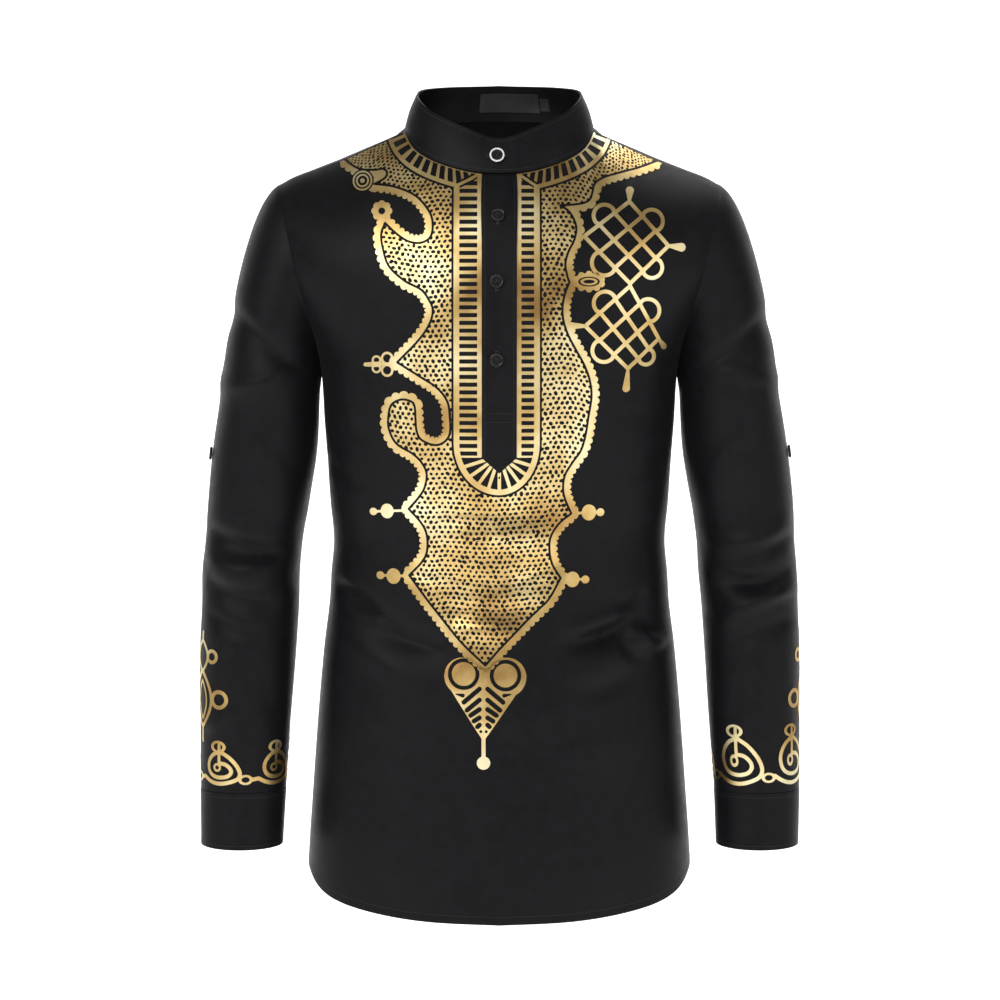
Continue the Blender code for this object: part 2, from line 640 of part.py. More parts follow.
# Each button's profile, as (radius, height) from its back to its dished face.
BUTTON = [
    (0, 0),
    (0.0050, 0),
    (0.0064, 0.0008),
    (0.0067, 0.0018),
    (0.0060, 0.0029),
    (0.0048, 0.0029),
    (0.0036, 0.0018),
    (0, 0.0016),
]
COLLAR_BUTTON = [(r * 1.1, h) for r, h in BUTTON]

for number, (x, z) in enumerate([(-0.0015, -0.087), (-0.0025, -0.149), (-0.0025, -0.224)], 1):
    at, n = on_front(x, z, over + WALL / 2 + GAP)
    turned(f"button_{number}", at, n, BUTTON)

at = band(-0.024, 0.49, BAND_LIFT + BAND_WALL / 2 + GAP + 0.0003)
n = normal(lambda a, b: band(a, b, 0), np.array(-0.024), np.array(0.49), (-99, 0), (99, 1))
turned("button_collar", at, n if n[1] < 0 else -n, COLLAR_BUTTON, "pearl_button")

for name, side, z in (("tab_button_left", -1, -0.322), ("tab_button_right", 1, -0.320)):
    q, r = np.array(0.965), np.array(1 + (LEVEL_BICEPS - z) / (LEVEL_BICEPS - LEVEL_CUFF))
    n = sleeve_normal(side, q, r)
    turned(name, sleeve(side, q, r) + n * (WALL / 2 + GAP - 0.0003), n, BUTTON)

for name, side in (("cuff_button_left", -1), ("cuff_button_right", 1)):
    q = np.array(CUFF_START + 0.10)
    n = np.array([-side * np.cos(np.pi * q), -np.sin(np.pi * q), 0.0])
    at = cuff(side, q, np.array(0.48), np.array(LIFT)) + n * (CUFF_WALL / 2 + GAP + 0.0004)
    turned(name, at, n, BUTTON)

# Bare neck label and size tag on the inside of the band at the back, from the band's own points.
LABELS = ("neck_label", -0.0195, 0.0405, 0.24, 0.79), ("size_tag", 0.0415, 0.0505, 0.30, 0.66)
for name, x0, x1, v0, v1 in LABELS:
    ends = [np.pi - angle_at(abs(x) / 0.0875, 2.1) * np.sign(x) for x in (x1, x0)]
    columns = TURNS + 2 * np.pi
    turns = np.sort([*ends, *columns[(columns > ends[0] + 0.01) & (columns < ends[1] - 0.01)]])
    turn, v = np.meshgrid(turns, [v0, 0.5, v1])
    n = normal(lambda a, b: band(a, b, 0), turn, v, (-99, 0), (99, 1))
    n = n * np.sign(n[..., 1:2])
    inside = band_facet(turn, v) - n * (BAND_WALL / 2 + GAP + LABEL_WALL / 2)
    solid(name, inside, n, LABEL_WALL, "label")
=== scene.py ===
"""The looks of a long-sleeved dashiki shirt: black satin cotton, a gold foil print and its buttons.

Metres, +Z up, the front faces -Y. Every cloth surface is the part's own function of two shares, laid on
a finer grid with more creases. The print is drawn in millimetres, as a function that is above 0 where
there is foil, and each film is cut out of a level grid along that function's 0 and laid on the cloth.
"""

import json

import bpy
import numpy as np
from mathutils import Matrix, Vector

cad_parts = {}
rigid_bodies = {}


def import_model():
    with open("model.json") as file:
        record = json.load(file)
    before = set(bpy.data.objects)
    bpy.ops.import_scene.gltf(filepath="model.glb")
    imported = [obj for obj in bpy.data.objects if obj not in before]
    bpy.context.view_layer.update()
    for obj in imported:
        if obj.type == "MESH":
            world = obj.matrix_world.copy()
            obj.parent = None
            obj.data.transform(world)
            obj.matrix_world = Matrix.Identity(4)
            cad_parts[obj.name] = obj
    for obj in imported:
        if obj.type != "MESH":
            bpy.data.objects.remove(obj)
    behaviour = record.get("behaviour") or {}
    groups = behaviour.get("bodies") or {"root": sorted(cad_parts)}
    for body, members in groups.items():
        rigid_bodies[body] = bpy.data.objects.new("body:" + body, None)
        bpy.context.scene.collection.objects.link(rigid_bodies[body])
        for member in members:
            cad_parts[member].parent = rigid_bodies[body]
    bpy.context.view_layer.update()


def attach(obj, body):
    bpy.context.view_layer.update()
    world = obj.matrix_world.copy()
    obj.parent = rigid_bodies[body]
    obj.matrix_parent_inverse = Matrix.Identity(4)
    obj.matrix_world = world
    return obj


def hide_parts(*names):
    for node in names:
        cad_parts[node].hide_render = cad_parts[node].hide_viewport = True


for old in list(bpy.data.objects):
    bpy.data.objects.remove(old)

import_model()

WALL = 0.0016  # shirt cloth, doubled at its seams
BAND_WALL = 0.0020  # collar band, two layers and interfacing
CUFF_WALL = 0.0022
LABEL_WALL = 0.0010
GAP = 0.0004  # between pieces at a seam
LEVEL_UNDERARM = -0.246
LEVEL_FULL_ARMHOLE = -0.140  # where the armhole is deepest from front to back
LEVEL_BICEPS = -0.262
LEVEL_CUFF = -0.6553
LEVEL_CUFF_END = -0.7120
PLACKET_HALF = 0.0165
SHARE_PLACKET, SHARE_NECK = 0.06, 0.42  # shares across half a panel
SHARE_PLACKET_END, SHARE_PLACKET_TIP = 0.8630, 0.8347  # shares of the way from hem to underarm
ARMHOLE_FRONT, ARMHOLE_BACK = 0.062, 0.060
ROUNDNESS = 2.3  # exponent of the body's cross-section, where 2 is an ellipse
NECK_HALF, NECK_CENTRE, NECK_FRONT, NECK_BACK = 0.0928, -0.008, 0.066, 0.060
BAND_TOP_HALF, BAND_TOP_FRONT, BAND_TOP_BACK = 0.0805, 0.053, 0.0545
SEAM_Y_NECK, SEAM_Y_TIP = -0.014, -0.010


def table(columns, rows):
    """Rows of numbers as one array for each named column."""
    return dict(zip(columns.split(), np.array(rows, float).T))


BODY = table(
    "z half front back",
    [
        (-0.800, 0.1935, 0.119, 0.122),
        (-0.729, 0.1912, 0.118, 0.121),
        (-0.649, 0.1858, 0.114, 0.118),
        (-0.569, 0.1797, 0.109, 0.113),
        (-0.509, 0.1740, 0.104, 0.105),
        (-0.469, 0.1690, 0.101, 0.097),
        (-0.440, 0.1672, 0.101, 0.094),
        (-0.409, 0.1645, 0.102, 0.093),
        (-0.369, 0.1677, 0.106, 0.097),
        (-0.329, 0.1702, 0.111, 0.104),
        (-0.289, 0.1732, 0.115, 0.111),
        (-0.246, 0.1757, 0.118, 0.116),
        (-0.215, 0.1795, 0.118, 0.118),
        (-0.180, 0.1880, 0.117, 0.119),
        (-0.140, 0.1985, 0.113, 0.118),
        (-0.100, 0.2050, 0.107, 0.114),
    ],
)
# The hem's height across a panel, its shoulder's height out along x, and the collar's two edges round
# the neck in degrees from the centre front.
HEM = table(
    "share z",
    [
        (0, -0.7750),
        (0.28, -0.7715),
        (0.456, -0.7655),
        (0.577, -0.7600),
        (0.671, -0.7540),
        (0.761, -0.7460),
        (0.832, -0.7390),
        (1, -0.7310),
    ],
)
RIDGE = table(
    "x z",
    [
        (0.0880, 0.0000),
        (0.1120, -0.0106),
        (0.1340, -0.0204),
        (0.1570, -0.0302),
        (0.1825, -0.0400),
        (0.2070, -0.0495),
        (0.2160, -0.0545),
    ],
)
NECK = table(
    "turn z",
    [
        (0, -0.0458),
        (11, -0.0450),
        (38, -0.0350),
        (60, -0.0220),
        (84, -0.0035),
        (100, 0.0015),
        (140, 0.0065),
        (180, 0.0085),
    ],
)
BAND_TOP = table(
    "turn z",
    [
        (-28, 0.0015),
        (0, -0.0115),
        (28, 0.0015),
        (50, 0.0135),
        (78, 0.0285),
        (100, 0.0360),
        (135, 0.0415),
        (180, 0.0440),
    ],
)
# How a panel's columns arrive at the top edge: turned towards the neck and rising to the front's or
# the back's edge, in degrees, and how far they run that way, as a share of their length.
LEAVE = table(
    "share inward rise front back front_run back_run",
    [
        (0.00, 0, 0.00, 52, 40, 1.05, 1.05),
        (0.10, 10, 0.06, 50, 38, 1.05, 1.05),
        (0.20, 20, 0.14, 44, 30, 1.05, 1.10),
        (0.30, 28, 0.24, 38, 18, 1.10, 1.25),
        (0.42, 29, 0.32, 33, 2, 1.25, 1.50),
        (0.55, 16, 0.35, 29, -10, 1.15, 1.32),
        (0.70, 5, 0.36, 25, -17, 1.07, 1.12),
        (1.00, 0, 0.36, 19, -20, 1.05, 1.05),
    ],
)
SLEEVE = table(
    "z left left_half right right_half y depth",
    [
        (-0.262, 0.2281, 0.0484, 0.2290, 0.0487, 0.000, 0.0630),
        (-0.319, 0.2341, 0.0513, 0.2356, 0.0517, 0.003, 0.0620),
        (-0.379, 0.2420, 0.0492, 0.2440, 0.0497, 0.004, 0.0590),
        (-0.409, 0.2455, 0.0478, 0.2465, 0.0482, 0.003, 0.0575),
        (-0.439, 0.2485, 0.0480, 0.2485, 0.0485, 0.001, 0.0560),
        (-0.470, 0.2490, 0.0478, 0.2505, 0.0475, -0.002, 0.0545),
        (-0.509, 0.2510, 0.0475, 0.2525, 0.0468, -0.006, 0.0520),
        (-0.589, 0.2540, 0.0443, 0.2550, 0.0443, -0.014, 0.0450),
        (-0.655, 0.2560, 0.0418, 0.2575, 0.0418, -0.020, 0.0385),
        (-0.7130, 0.2575, 0.0398, 0.2580, 0.0400, -0.025, 0.0365),
    ],
)

# Folds as seen from the front or the back: a line from (x0, z0) to (x1, z1) that bows sideways at its
# middle, with its half width and its height, where below 0 is a trough. Millimetres.
FOLD_COLUMNS = "x0 z0 x1 z1 bow half height"
FRONT_FOLDS = table(
    FOLD_COLUMNS,
    [
        (-168, -455, -40, -522, 6, 15, -5.0),
        (-165, -480, -60, -545, 8, 14, 3.5),
        (150, -470, 60, -515, -6, 15, -5.0),
        (160, -492, 45, -530, -8, 14, 3.5),
        (-150, -300, -120, -400, 8, 16, 3.0),
        (140, -280, 118, -390, -8, 16, 3.0),
        (-120, -560, 120, -556, 10, 22, 2.5),
    ],
)
BACK_FOLDS = table(
    FOLD_COLUMNS,
    [
        (160, -440, 30, -505, -8, 16, -5.0),
        (-158, -452, -35, -515, 7, 15, -4.5),
        (150, -480, 60, -540, -6, 15, 3.5),
        (-150, -490, -50, -560, 8, 15, 3.5),
        (-110, -180, -60, -330, 10, 20, 3.0),
        (112, -190, 64, -320, -10, 20, 3.0),
    ],
)
SLEEVE_FOLDS = {
    "left": table(
        FOLD_COLUMNS,
        [
            (-285, -165, -185, -238, 6, 13, -4.0),
            (-292, -250, -196, -236, 8, 15, 3.0),
            (-292, -400, -200, -424, 6, 12, -5.0),
            (-292, -432, -200, -428, 14, 12, 4.5),
            (-292, -452, -205, -466, 10, 12, -4.0),
            (-250, -330, -200, -395, -8, 16, 2.5),
        ],
    ),
    "right": table(
        FOLD_COLUMNS,
        [
            (285, -170, 183, -242, -6, 13, -4.0),
            (292, -390, 204, -412, -6, 12, 4.5),
            (296, -428, 204, -440, -12, 12, -5.0),
            (298, -442, 212, -486, 8, 12, 4.0),
            (248, -320, 202, -380, 8, 16, 2.5),
        ],
    ),
}


# More creases than the solids have, in the same columns as the folds.
FRONT_CREASES = table(
    FOLD_COLUMNS,
    [
        (-170, -444, -44, -506, 6, 10, -6.7),
        (150, -520, 70, -556, -6, 11, -4.9),
        (-166, -446, -118, -474, 3, 8, -6.4),
        (-160, -458, -62, -500, 5, 8, 4.5),
        (-120, -486, -48, -508, 3, 8, -4.5),
        (148, -452, 112, -470, -4, 8, -5.4),
        (146, -474, 52, -503, -6, 8, -7.0),
        (140, -462, 70, -484, -5, 8, 5.4),
        (128, -478, 166, -508, 9, 8, 6.4),
        (120, -490, 150, -522, 8, 8, -3.9),
        (-80, -371, 62, -374, 4, 11, -2.4),
        (-78, -398, 55, -401, -5, 14, 3.9),
        (-96, -424, 12, -447, 3, 10, -4.9),
        (66, -416, 4, -446, -3, 11, -4.5),
        (-66, -464, 44, -468, 6, 12, -4.2),
        (-46, -487, 30, -490, -4, 11, 4.2),
        (-172, -318, -128, -352, 4, 7, -2.0),
        (-150, -220, -132, -300, 6, 10, 1.8),
        (168, -300, 126, -344, -4, 8, -2.0),
        (152, -205, 132, -280, -6, 10, 1.8),
        (-150, -560, -60, -590, 6, 18, 2.2),
        (140, -585, 50, -610, -8, 18, 2.1),
        (-96, -640, -88, -760, 8, 18, 2.2),
        (92, -650, 100, -765, -8, 18, 2.2),
        (-20, -660, -14, -770, 6, 16, -1.7),
    ],
)
BACK_CREASES = table(
    FOLD_COLUMNS,
    [
        (162, -430, 96, -462, -4, 8, -5.9),
        (150, -452, 60, -486, -6, 8, 5.4),
        (-160, -440, -92, -474, 5, 8, -5.9),
        (-150, -462, -60, -498, 6, 8, 4.9),
        (-70, -505, 60, -512, 8, 13, -4.5),
        (-96, -535, 84, -530, -8, 17, 3.5),
        (-44, -90, -40, -230, 8, 12, 2.0),
        (50, -95, 44, -240, -8, 12, 2.0),
        (130, -250, 96, -360, -8, 12, 2.2),
        (-128, -255, -98, -350, 8, 12, -2.1),
        (-110, -610, -96, -770, 10, 18, 2.5),
        (20, -600, 26, -780, -8, 18, 2.2),
        (120, -620, 104, -770, -8, 16, -2.1),
    ],
)
SLEEVE_CREASES = {
    "left": table(
        FOLD_COLUMNS,
        [
            (-268, -172, -184, -244, 4, 7, -2.5),
            (-280, -250, -198, -236, 5, 7, 2.2),
            (-294, -392, -200, -420, 4, 8, -4.5),
            (-294, -420, -200, -418, 12, 8, 4.5),
            (-290, -444, -214, -462, 7, 8, -4.5),
            (-292, -474, -230, -500, 5, 8, -3.2),
            (-250, -300, -206, -356, -6, 7, 1.7),
            (-292, -596, -262, -566, 3, 7, 1.7),
            (-236, -520, -214, -600, 4, 9, -1.5),
        ],
    ),
    "right": table(
        FOLD_COLUMNS,
        [
            (270, -176, 184, -246, -4, 7, -2.5),
            (292, -246, 204, -230, -5, 7, 2.0),
            (294, -398, 210, -424, -5, 8, -4.5),
            (296, -436, 206, -434, -12, 8, -4.9),
            (298, -452, 216, -494, 8, 8, 4.5),
            (294, -482, 226, -516, 6, 8, -3.5),
            (250, -290, 206, -346, 6, 8, 1.7),
            (240, -530, 222, -610, -4, 9, -1.5),
        ],
    ),
}


def joined(folded, creased):
    """Two tables of the same columns as one."""
    return {column: np.concatenate([folded[column], creased[column]]) for column in folded}


ALL_FRONT = joined(FRONT_FOLDS, FRONT_CREASES)
ALL_BACK = joined(BACK_FOLDS, BACK_CREASES)
ALL_SLEEVE = {name: joined(SLEEVE_FOLDS[name], SLEEVE_CREASES[name]) for name in SLEEVE_FOLDS}


def smooth(at, x, y):
    """The table's value at each point: a cubic between neighbours, with slopes from the rows on each side."""
    slope = np.gradient(y, x)
    at = np.clip(at, x[0], x[-1])
    i = np.clip(np.searchsorted(x, at, side="right") - 1, 0, len(x) - 2)
    run = x[i + 1] - x[i]
    t = (at - x[i]) / run
    return hermite(y[i], slope[i] * run, y[i + 1], slope[i + 1] * run, t)


def hermite(p0, t0, p1, t1, t):
    """A cubic from p0 to p1 with slopes t0 and t1 at its ends."""
    return (
        (2 * t**3 - 3 * t**2 + 1) * p0
        + (t**3 - 2 * t**2 + t) * t0
        + (3 * t**2 - 2 * t**3) * p1
        + (t**3 - t**2) * t1
    )


def join(x, y, z):
    """Points from their three coordinates."""
    return np.stack(np.broadcast_arrays(x, y, z), axis=-1)


def ring(turn, power):
    """The two shares (sideways, forward) of a superellipse at an angle from the front."""
    k = (np.abs(np.sin(turn)) ** power + np.abs(np.cos(turn)) ** power) ** (-1 / power)
    return np.sin(turn) * k, np.cos(turn) * k


def angle_at(sideways, power):
    """The angle from the front at which a superellipse has come this share of the way to its side."""
    return np.arctan2(sideways, (1 - sideways**power) ** (1 / power))


def spread(s, inner, outer, at=SHARE_PLACKET, end=1.0):
    """An angle that runs from 0 to inner over the placket's share, then on to outer."""
    size = np.abs(s)
    return np.sign(s) * np.where(
        size < at, inner * size / at, inner + (outer - inner) * (size - at) / (end - at)
    )


def body_row(s, z, face):
    """A point of the body at this level, up to the deepest of the armhole. The row ends at the side seam,
    or at the armhole's edge."""
    front = face == "front"
    depth = smooth(z, BODY["z"], BODY[face])
    cut = ARMHOLE_FRONT if front else ARMHOLE_BACK
    to_full = np.clip((LEVEL_FULL_ARMHOLE - z) / (LEVEL_FULL_ARMHOLE - LEVEL_UNDERARM), 0, 1)
    edge = cut * (1 - to_full**1.6) / depth
    reach = (1 - edge**ROUNDNESS) ** (1 / ROUNDNESS)
    half = smooth(z, BODY["z"], BODY["half"]) / reach
    turn = spread(s, angle_at(PLACKET_HALF / half, ROUNDNESS), np.arctan2(reach, edge))
    sideways, forward = ring(turn, ROUNDNESS)
    return join(half * sideways, (-depth if front else depth) * forward, z)


def neck(turn):
    """A point of the neck seam at an angle in radians from the centre front."""
    turn = (turn + np.pi) % (2 * np.pi) - np.pi
    sideways, forward = ring(turn, 2.1)
    y = NECK_CENTRE - np.where(forward > 0, NECK_FRONT, NECK_BACK) * forward
    return join(NECK_HALF * sideways, y, smooth(np.degrees(np.abs(turn)), NECK["turn"], NECK["z"]))


TURN_PLACKET = angle_at(PLACKET_HALF / NECK_HALF, 2.1)
TURN_SHOULDER = np.radians(84.6)


def top_edge(s, face):
    """A point of a panel's top edge: the neck seam out to the shoulder, then the shoulder seam."""
    size = np.abs(s)
    if face == "front":
        turn = spread(s, TURN_PLACKET, TURN_SHOULDER, end=SHARE_NECK)
    else:
        turn = np.pi - spread(s, TURN_PLACKET, np.pi - TURN_SHOULDER, end=SHARE_NECK)
    round_neck = neck(turn)
    start = neck(TURN_SHOULDER)
    along = np.clip((size - SHARE_NECK) / (1 - SHARE_NECK), 0, 1)
    x = start[0] + (0.2155 - start[0]) * along
    z = smooth(x, RIDGE["x"], RIDGE["z"]) - 0.0025
    z = z + (start[2] - smooth(start[0], RIDGE["x"], RIDGE["z"]) + 0.0025) * (1 - along) ** 4
    shoulder = join(np.sign(s) * x, SEAM_Y_NECK + (SEAM_Y_TIP - SEAM_Y_NECK) * along, z)
    return np.where((size <= SHARE_NECK)[..., None], round_neck, shoulder)


def plain_panel(face, s, w):
    """A point of the front or back with no folds. s is the share across, from -1 to 1. w is 0 at the hem,
    1 at the underarm, 2 at the deepest of the armhole and 3 at the neck and shoulder. Between 2 and 3 the
    top edge's corner at the neck is blurred, less and less towards it."""
    s, w = np.broadcast_arrays(np.asarray(s, float), np.asarray(w, float))
    hem = smooth(np.abs(s), HEM["share"], HEM["z"])
    low = hem + (LEVEL_UNDERARM - hem) * np.clip(w, 0, 1)
    mid = LEVEL_UNDERARM + (LEVEL_FULL_ARMHOLE - LEVEL_UNDERARM) * np.clip(w - 1, 0, 1)
    rows = body_row(s, np.where(w < 1, low, mid), face)
    start = body_row(s, np.full(s.shape, LEVEL_FULL_ARMHOLE), face)
    step = 0.004
    rise = (start - body_row(s, np.full(s.shape, LEVEL_FULL_ARMHOLE - step), face)) / step
    t = np.clip(w - 2, 0, 1)
    blur = 0.12 * (1 - t) * np.clip((1 - np.abs(s)) / 0.3, 0, 1)
    blur = blur * np.clip((np.abs(s) - SHARE_PLACKET) / 0.2, 0, 1)
    end = sum((5 - abs(k)) / 25 * top_edge(s + blur * k / 4, face) for k in range(-4, 5))
    inward = np.radians(smooth(np.abs(s), LEAVE["share"], LEAVE["inward"]))
    rise_in = smooth(np.abs(s), LEAVE["share"], LEAVE["rise"])
    tilt = np.radians(smooth(np.abs(s), LEAVE["share"], LEAVE[face]))
    leave = join(
        -np.sign(s) * np.sin(inward),
        np.cos(inward) * (1 if face == "front" else -1),
        np.sin(inward) * rise_in + np.cos(inward) * np.tan(tilt),
    )
    leave = leave / np.linalg.norm(leave, axis=-1, keepdims=True)
    span = np.linalg.norm(end - start, axis=-1, keepdims=True)
    run = smooth(np.abs(s), LEAVE["share"], LEAVE[face + "_run"])[..., None]
    upper = hermite(start, rise * span, end, leave * span * run, t[..., None])
    return np.where((w < 2)[..., None], rows, upper)


def folds(p, rows):
    """How far folds move each point: each row's height times a bell across its line, fading to nothing
    at its ends."""
    x, z = 1000 * p[..., 0], 1000 * p[..., 2]
    moved = np.zeros(x.shape)
    for x0, z0, x1, z1, bow, half, height in zip(*rows.values()):
        dx, dz = x1 - x0, z1 - z0
        length = np.hypot(dx, dz)
        along = ((x - x0) * dx + (z - z0) * dz) / length**2
        inside = np.clip(along, 0, 1)
        off = ((x - x0) * dz - (z - z0) * dx) / length - bow * 4 * inside * (1 - inside)
        moved += height * np.exp(-((off / half) ** 2)) * (16 * inside**2 * (1 - inside) ** 2) ** 0.6
    return moved / 1000


def normal(surface, s, w, low, high):
    """Unit normals by central differences that stay between the edges."""
    step = 2e-3
    a = surface(np.clip(s + step, low[0], high[0]), w) - surface(np.clip(s - step, low[0], high[0]), w)
    b = surface(s, np.clip(w + step, low[1], high[1])) - surface(s, np.clip(w - step, low[1], high[1]))
    n = np.cross(a, b)
    return n / np.linalg.norm(n, axis=-1, keepdims=True)


def panel(face, s, w):
    """A point of the front or back with its folds, which fade before the seams."""
    s, w = np.broadcast_arrays(np.asarray(s, float), np.asarray(w, float))
    bare = lambda a, b: plain_panel(face, a, b)
    p = bare(s, w)
    n = normal(bare, s, w, (-1, 0), (1, 3)) * (1 if face == "front" else -1)
    fade = np.clip((1 - np.abs(s)) / 0.12, 0, 1) * np.clip((3 - w) / 0.5, 0, 1)
    rows = ALL_FRONT if face == "front" else ALL_BACK
    return p + n * (folds(p, rows) * fade * fade * (3 - 2 * fade))[..., None]


def panel_normal(face, s, w):
    """A panel's outward direction, as the front's and the back's run opposite ways."""
    n = normal(lambda a, b: panel(face, a, b), s, w, (-1, 0), (1, 3))
    return n * (1 if face == "front" else -1)


EDGE_STEPS = 1 + np.linspace(0, 2, 161)


def edge_share(face):
    """The armhole edge's length up to each of EDGE_STEPS, as a share of the whole."""
    p = plain_panel(face, np.ones(len(EDGE_STEPS)), EDGE_STEPS)
    run = np.concatenate([[0], np.cumsum(np.linalg.norm(np.diff(p, axis=0), axis=1))])
    return run / run[-1]


EDGE_SHARE = {face: edge_share(face) for face in ("front", "back")}


def sleeve_ring(side, q, z):
    """A point of a sleeve's level cross-section. q is 0 at the inside of the arm, 0.5 at the front, 1 at
    the outside and 1.5 at the back."""
    name = "left" if side < 0 else "right"
    centre = smooth(z, SLEEVE["z"][::-1], SLEEVE[name][::-1])
    half = smooth(z, SLEEVE["z"][::-1], SLEEVE[name + "_half"][::-1])
    y = smooth(z, SLEEVE["z"][::-1], SLEEVE["y"][::-1])
    depth = smooth(z, SLEEVE["z"][::-1], SLEEVE["depth"][::-1])
    return join(side * (centre - half * np.cos(np.pi * q)), y - depth * np.sin(np.pi * q), z)


def plain_sleeve(side, q, r):
    """A point of a sleeve with no folds. r is 0 at the armhole, 1 at the biceps and 2 at the cuff seam."""
    q, r = np.broadcast_arrays(np.asarray(q, float), np.asarray(r, float))
    q = q % 2
    up = np.minimum(q, 2 - q)
    edge = np.empty(q.shape + (3,))
    for face, part in (("front", q <= 1), ("back", q > 1)):
        w = np.interp(up[part], EDGE_SHARE[face], EDGE_STEPS)
        edge[part] = plain_panel(face, np.full(w.shape, float(side)), w)
    top = np.sin(up * np.pi / 2) ** 2
    edge[..., 0] += side * (GAP + WALL * (0.15 + 1.05 * (1 - top)))
    biceps = sleeve_ring(side, q, LEVEL_BICEPS)
    span = np.linalg.norm(biceps - edge, axis=-1, keepdims=True)
    slope = np.radians(88 - 66 * top)
    leave = join(side * np.cos(slope), 0 * slope, -np.sin(slope)) * span * (0.75 - 0.28 * top)[..., None]
    arrive = join(side * 0.09 + 0 * q, 0 * q, -1.0) * span
    cap = hermite(edge, leave, biceps, arrive, np.clip(r, 0, 1)[..., None])
    tube = sleeve_ring(side, q, LEVEL_BICEPS + (LEVEL_CUFF - LEVEL_BICEPS) * np.clip(r - 1, 0, 1))
    return np.where((r < 1)[..., None], cap, tube)


def sleeve(side, q, r):
    """A point of a sleeve with its folds, the same ones a little lower round the back."""
    q, r = np.broadcast_arrays(np.asarray(q, float), np.asarray(r, float))
    bare = lambda a, b: plain_sleeve(side, a, b)
    p = bare(q, r)
    n = normal(bare, q, r, (-9, 0), (9, 2)) * -side
    behind = np.clip(-np.sin(np.pi * q), 0, 1)
    seen = p + join(0, 0, 0.014) * behind[..., None]
    fade = np.clip(r / 0.35, 0, 1) * np.clip((2 - r) / 0.15, 0, 1)
    return p + n * (folds(seen, ALL_SLEEVE["left" if side < 0 else "right"]) * fade)[..., None]


def sleeve_normal(side, q, r):
    """A sleeve's outward direction, as the two sides mirror each other."""
    return normal(lambda a, b: sleeve(side, a, b), q, r, (-9, 0), (9, 2)) * -side


def cuff(side, q, v, lap):
    """A point of a cuff, v from 0 at its seam to 1 at its end, lifted by lap where one end lies over the
    other."""
    q, v, lap = np.broadcast_arrays(q, v, lap)
    end = LEVEL_CUFF_END + 0.0015 * (1 - np.sin(np.pi * q))
    start = LEVEL_CUFF - 1.25 * GAP
    z = start + (end - start) * v
    p = sleeve_ring(side, q, z)
    out = np.stack([-side * np.cos(np.pi * q), -np.sin(np.pi * q), 0 * q], axis=-1)
    return p + out * lap[..., None]


def band(turn, v, lap):
    """A point of the collar band at an angle from the centre front, v from 0 at the neck seam to 1 at its
    top edge."""
    turn, v, lap = (np.asarray(a, float) for a in np.broadcast_arrays(turn, v, lap))
    low = neck(turn)
    turn = (turn + np.pi) % (2 * np.pi) - np.pi
    sideways, forward = ring(turn, 2.1)
    y = NECK_CENTRE - np.where(forward > 0, BAND_TOP_FRONT, BAND_TOP_BACK) * forward
    top = smooth(np.degrees(np.abs(turn)), BAND_TOP["turn"], BAND_TOP["z"])
    high = join(BAND_TOP_HALF * sideways, y, top)
    rise = high - low
    low = low + 0.0015 * rise / np.linalg.norm(rise, axis=-1, keepdims=True)
    out = np.stack([sideways, -forward, 0 * sideways], axis=-1)
    out = out / np.linalg.norm(out, axis=-1, keepdims=True)
    bulge = 0.0015 * np.sin(np.pi * v)
    return low + (high - low) * v[..., None] + out * (bulge + lap)[..., None]


def on_front(x, z, lift):
    """The front panel's point seen at (x, z) from the front, moved out, and its normal."""
    s, w = 3 * x, 1 + (z - LEVEL_UNDERARM) / (0.1 if z > LEVEL_UNDERARM else 0.5)
    for _ in range(30):
        p = panel("front", s, w)
        ds = (panel("front", s + 1e-3, w) - p)[[0, 2]] / 1e-3
        dw = (panel("front", s, w + 1e-3) - p)[[0, 2]] / 1e-3
        step = np.linalg.solve(np.stack([ds, dw], axis=1), np.array([x, z]) - p[[0, 2]])
        s, w = s + np.clip(step[0], -0.1, 0.1), w + np.clip(step[1], -0.2, 0.2)
    n = panel_normal("front", s, w)
    return panel("front", s, w) + n * lift, n


# Meshes.
def piece(name, points, faces, finish, slot_name, uv=None, sharp=50):
    """A named piece of these points and faces, which all have the same number of corners, shaded smooth
    up to an angle. uv is a place on the cloth in metres for each corner of each face."""
    mesh = bpy.data.meshes.new(name)
    mesh.vertices.add(len(points))
    mesh.vertices.foreach_set("co", np.ascontiguousarray(points, np.float32).ravel())
    mesh.loops.add(faces.size)
    mesh.loops.foreach_set("vertex_index", np.ascontiguousarray(faces, np.int32).ravel())
    mesh.polygons.add(len(faces))
    mesh.polygons.foreach_set("loop_start", np.arange(0, faces.size, faces.shape[1], dtype=np.int32))
    mesh.polygons.foreach_set("use_smooth", np.ones(len(faces), bool))
    mesh.update(calc_edges=True)
    if uv is not None:
        layer = mesh.uv_layers.new(name="cloth")
        layer.data.foreach_set("uv", np.ascontiguousarray(uv, np.float32).ravel())
    mesh.set_sharp_from_angle(angle=np.radians(sharp))
    mesh.materials.append(finish)
    made = bpy.data.objects.new(name, mesh)
    bpy.context.collection.objects.link(made)
    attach(made, "root")
    return made


def run_lengths(points):
    """How far along the cloth each grid point lies from the first column, and from the first row."""
    across = np.linalg.norm(np.diff(points, axis=1), axis=-1)
    up = np.linalg.norm(np.diff(points, axis=0), axis=-1)
    across = np.concatenate([np.zeros((len(points), 1)), np.cumsum(across, axis=1)], axis=1)
    up = np.concatenate([np.zeros((1, points.shape[1])), np.cumsum(up, axis=0)])
    return across, up


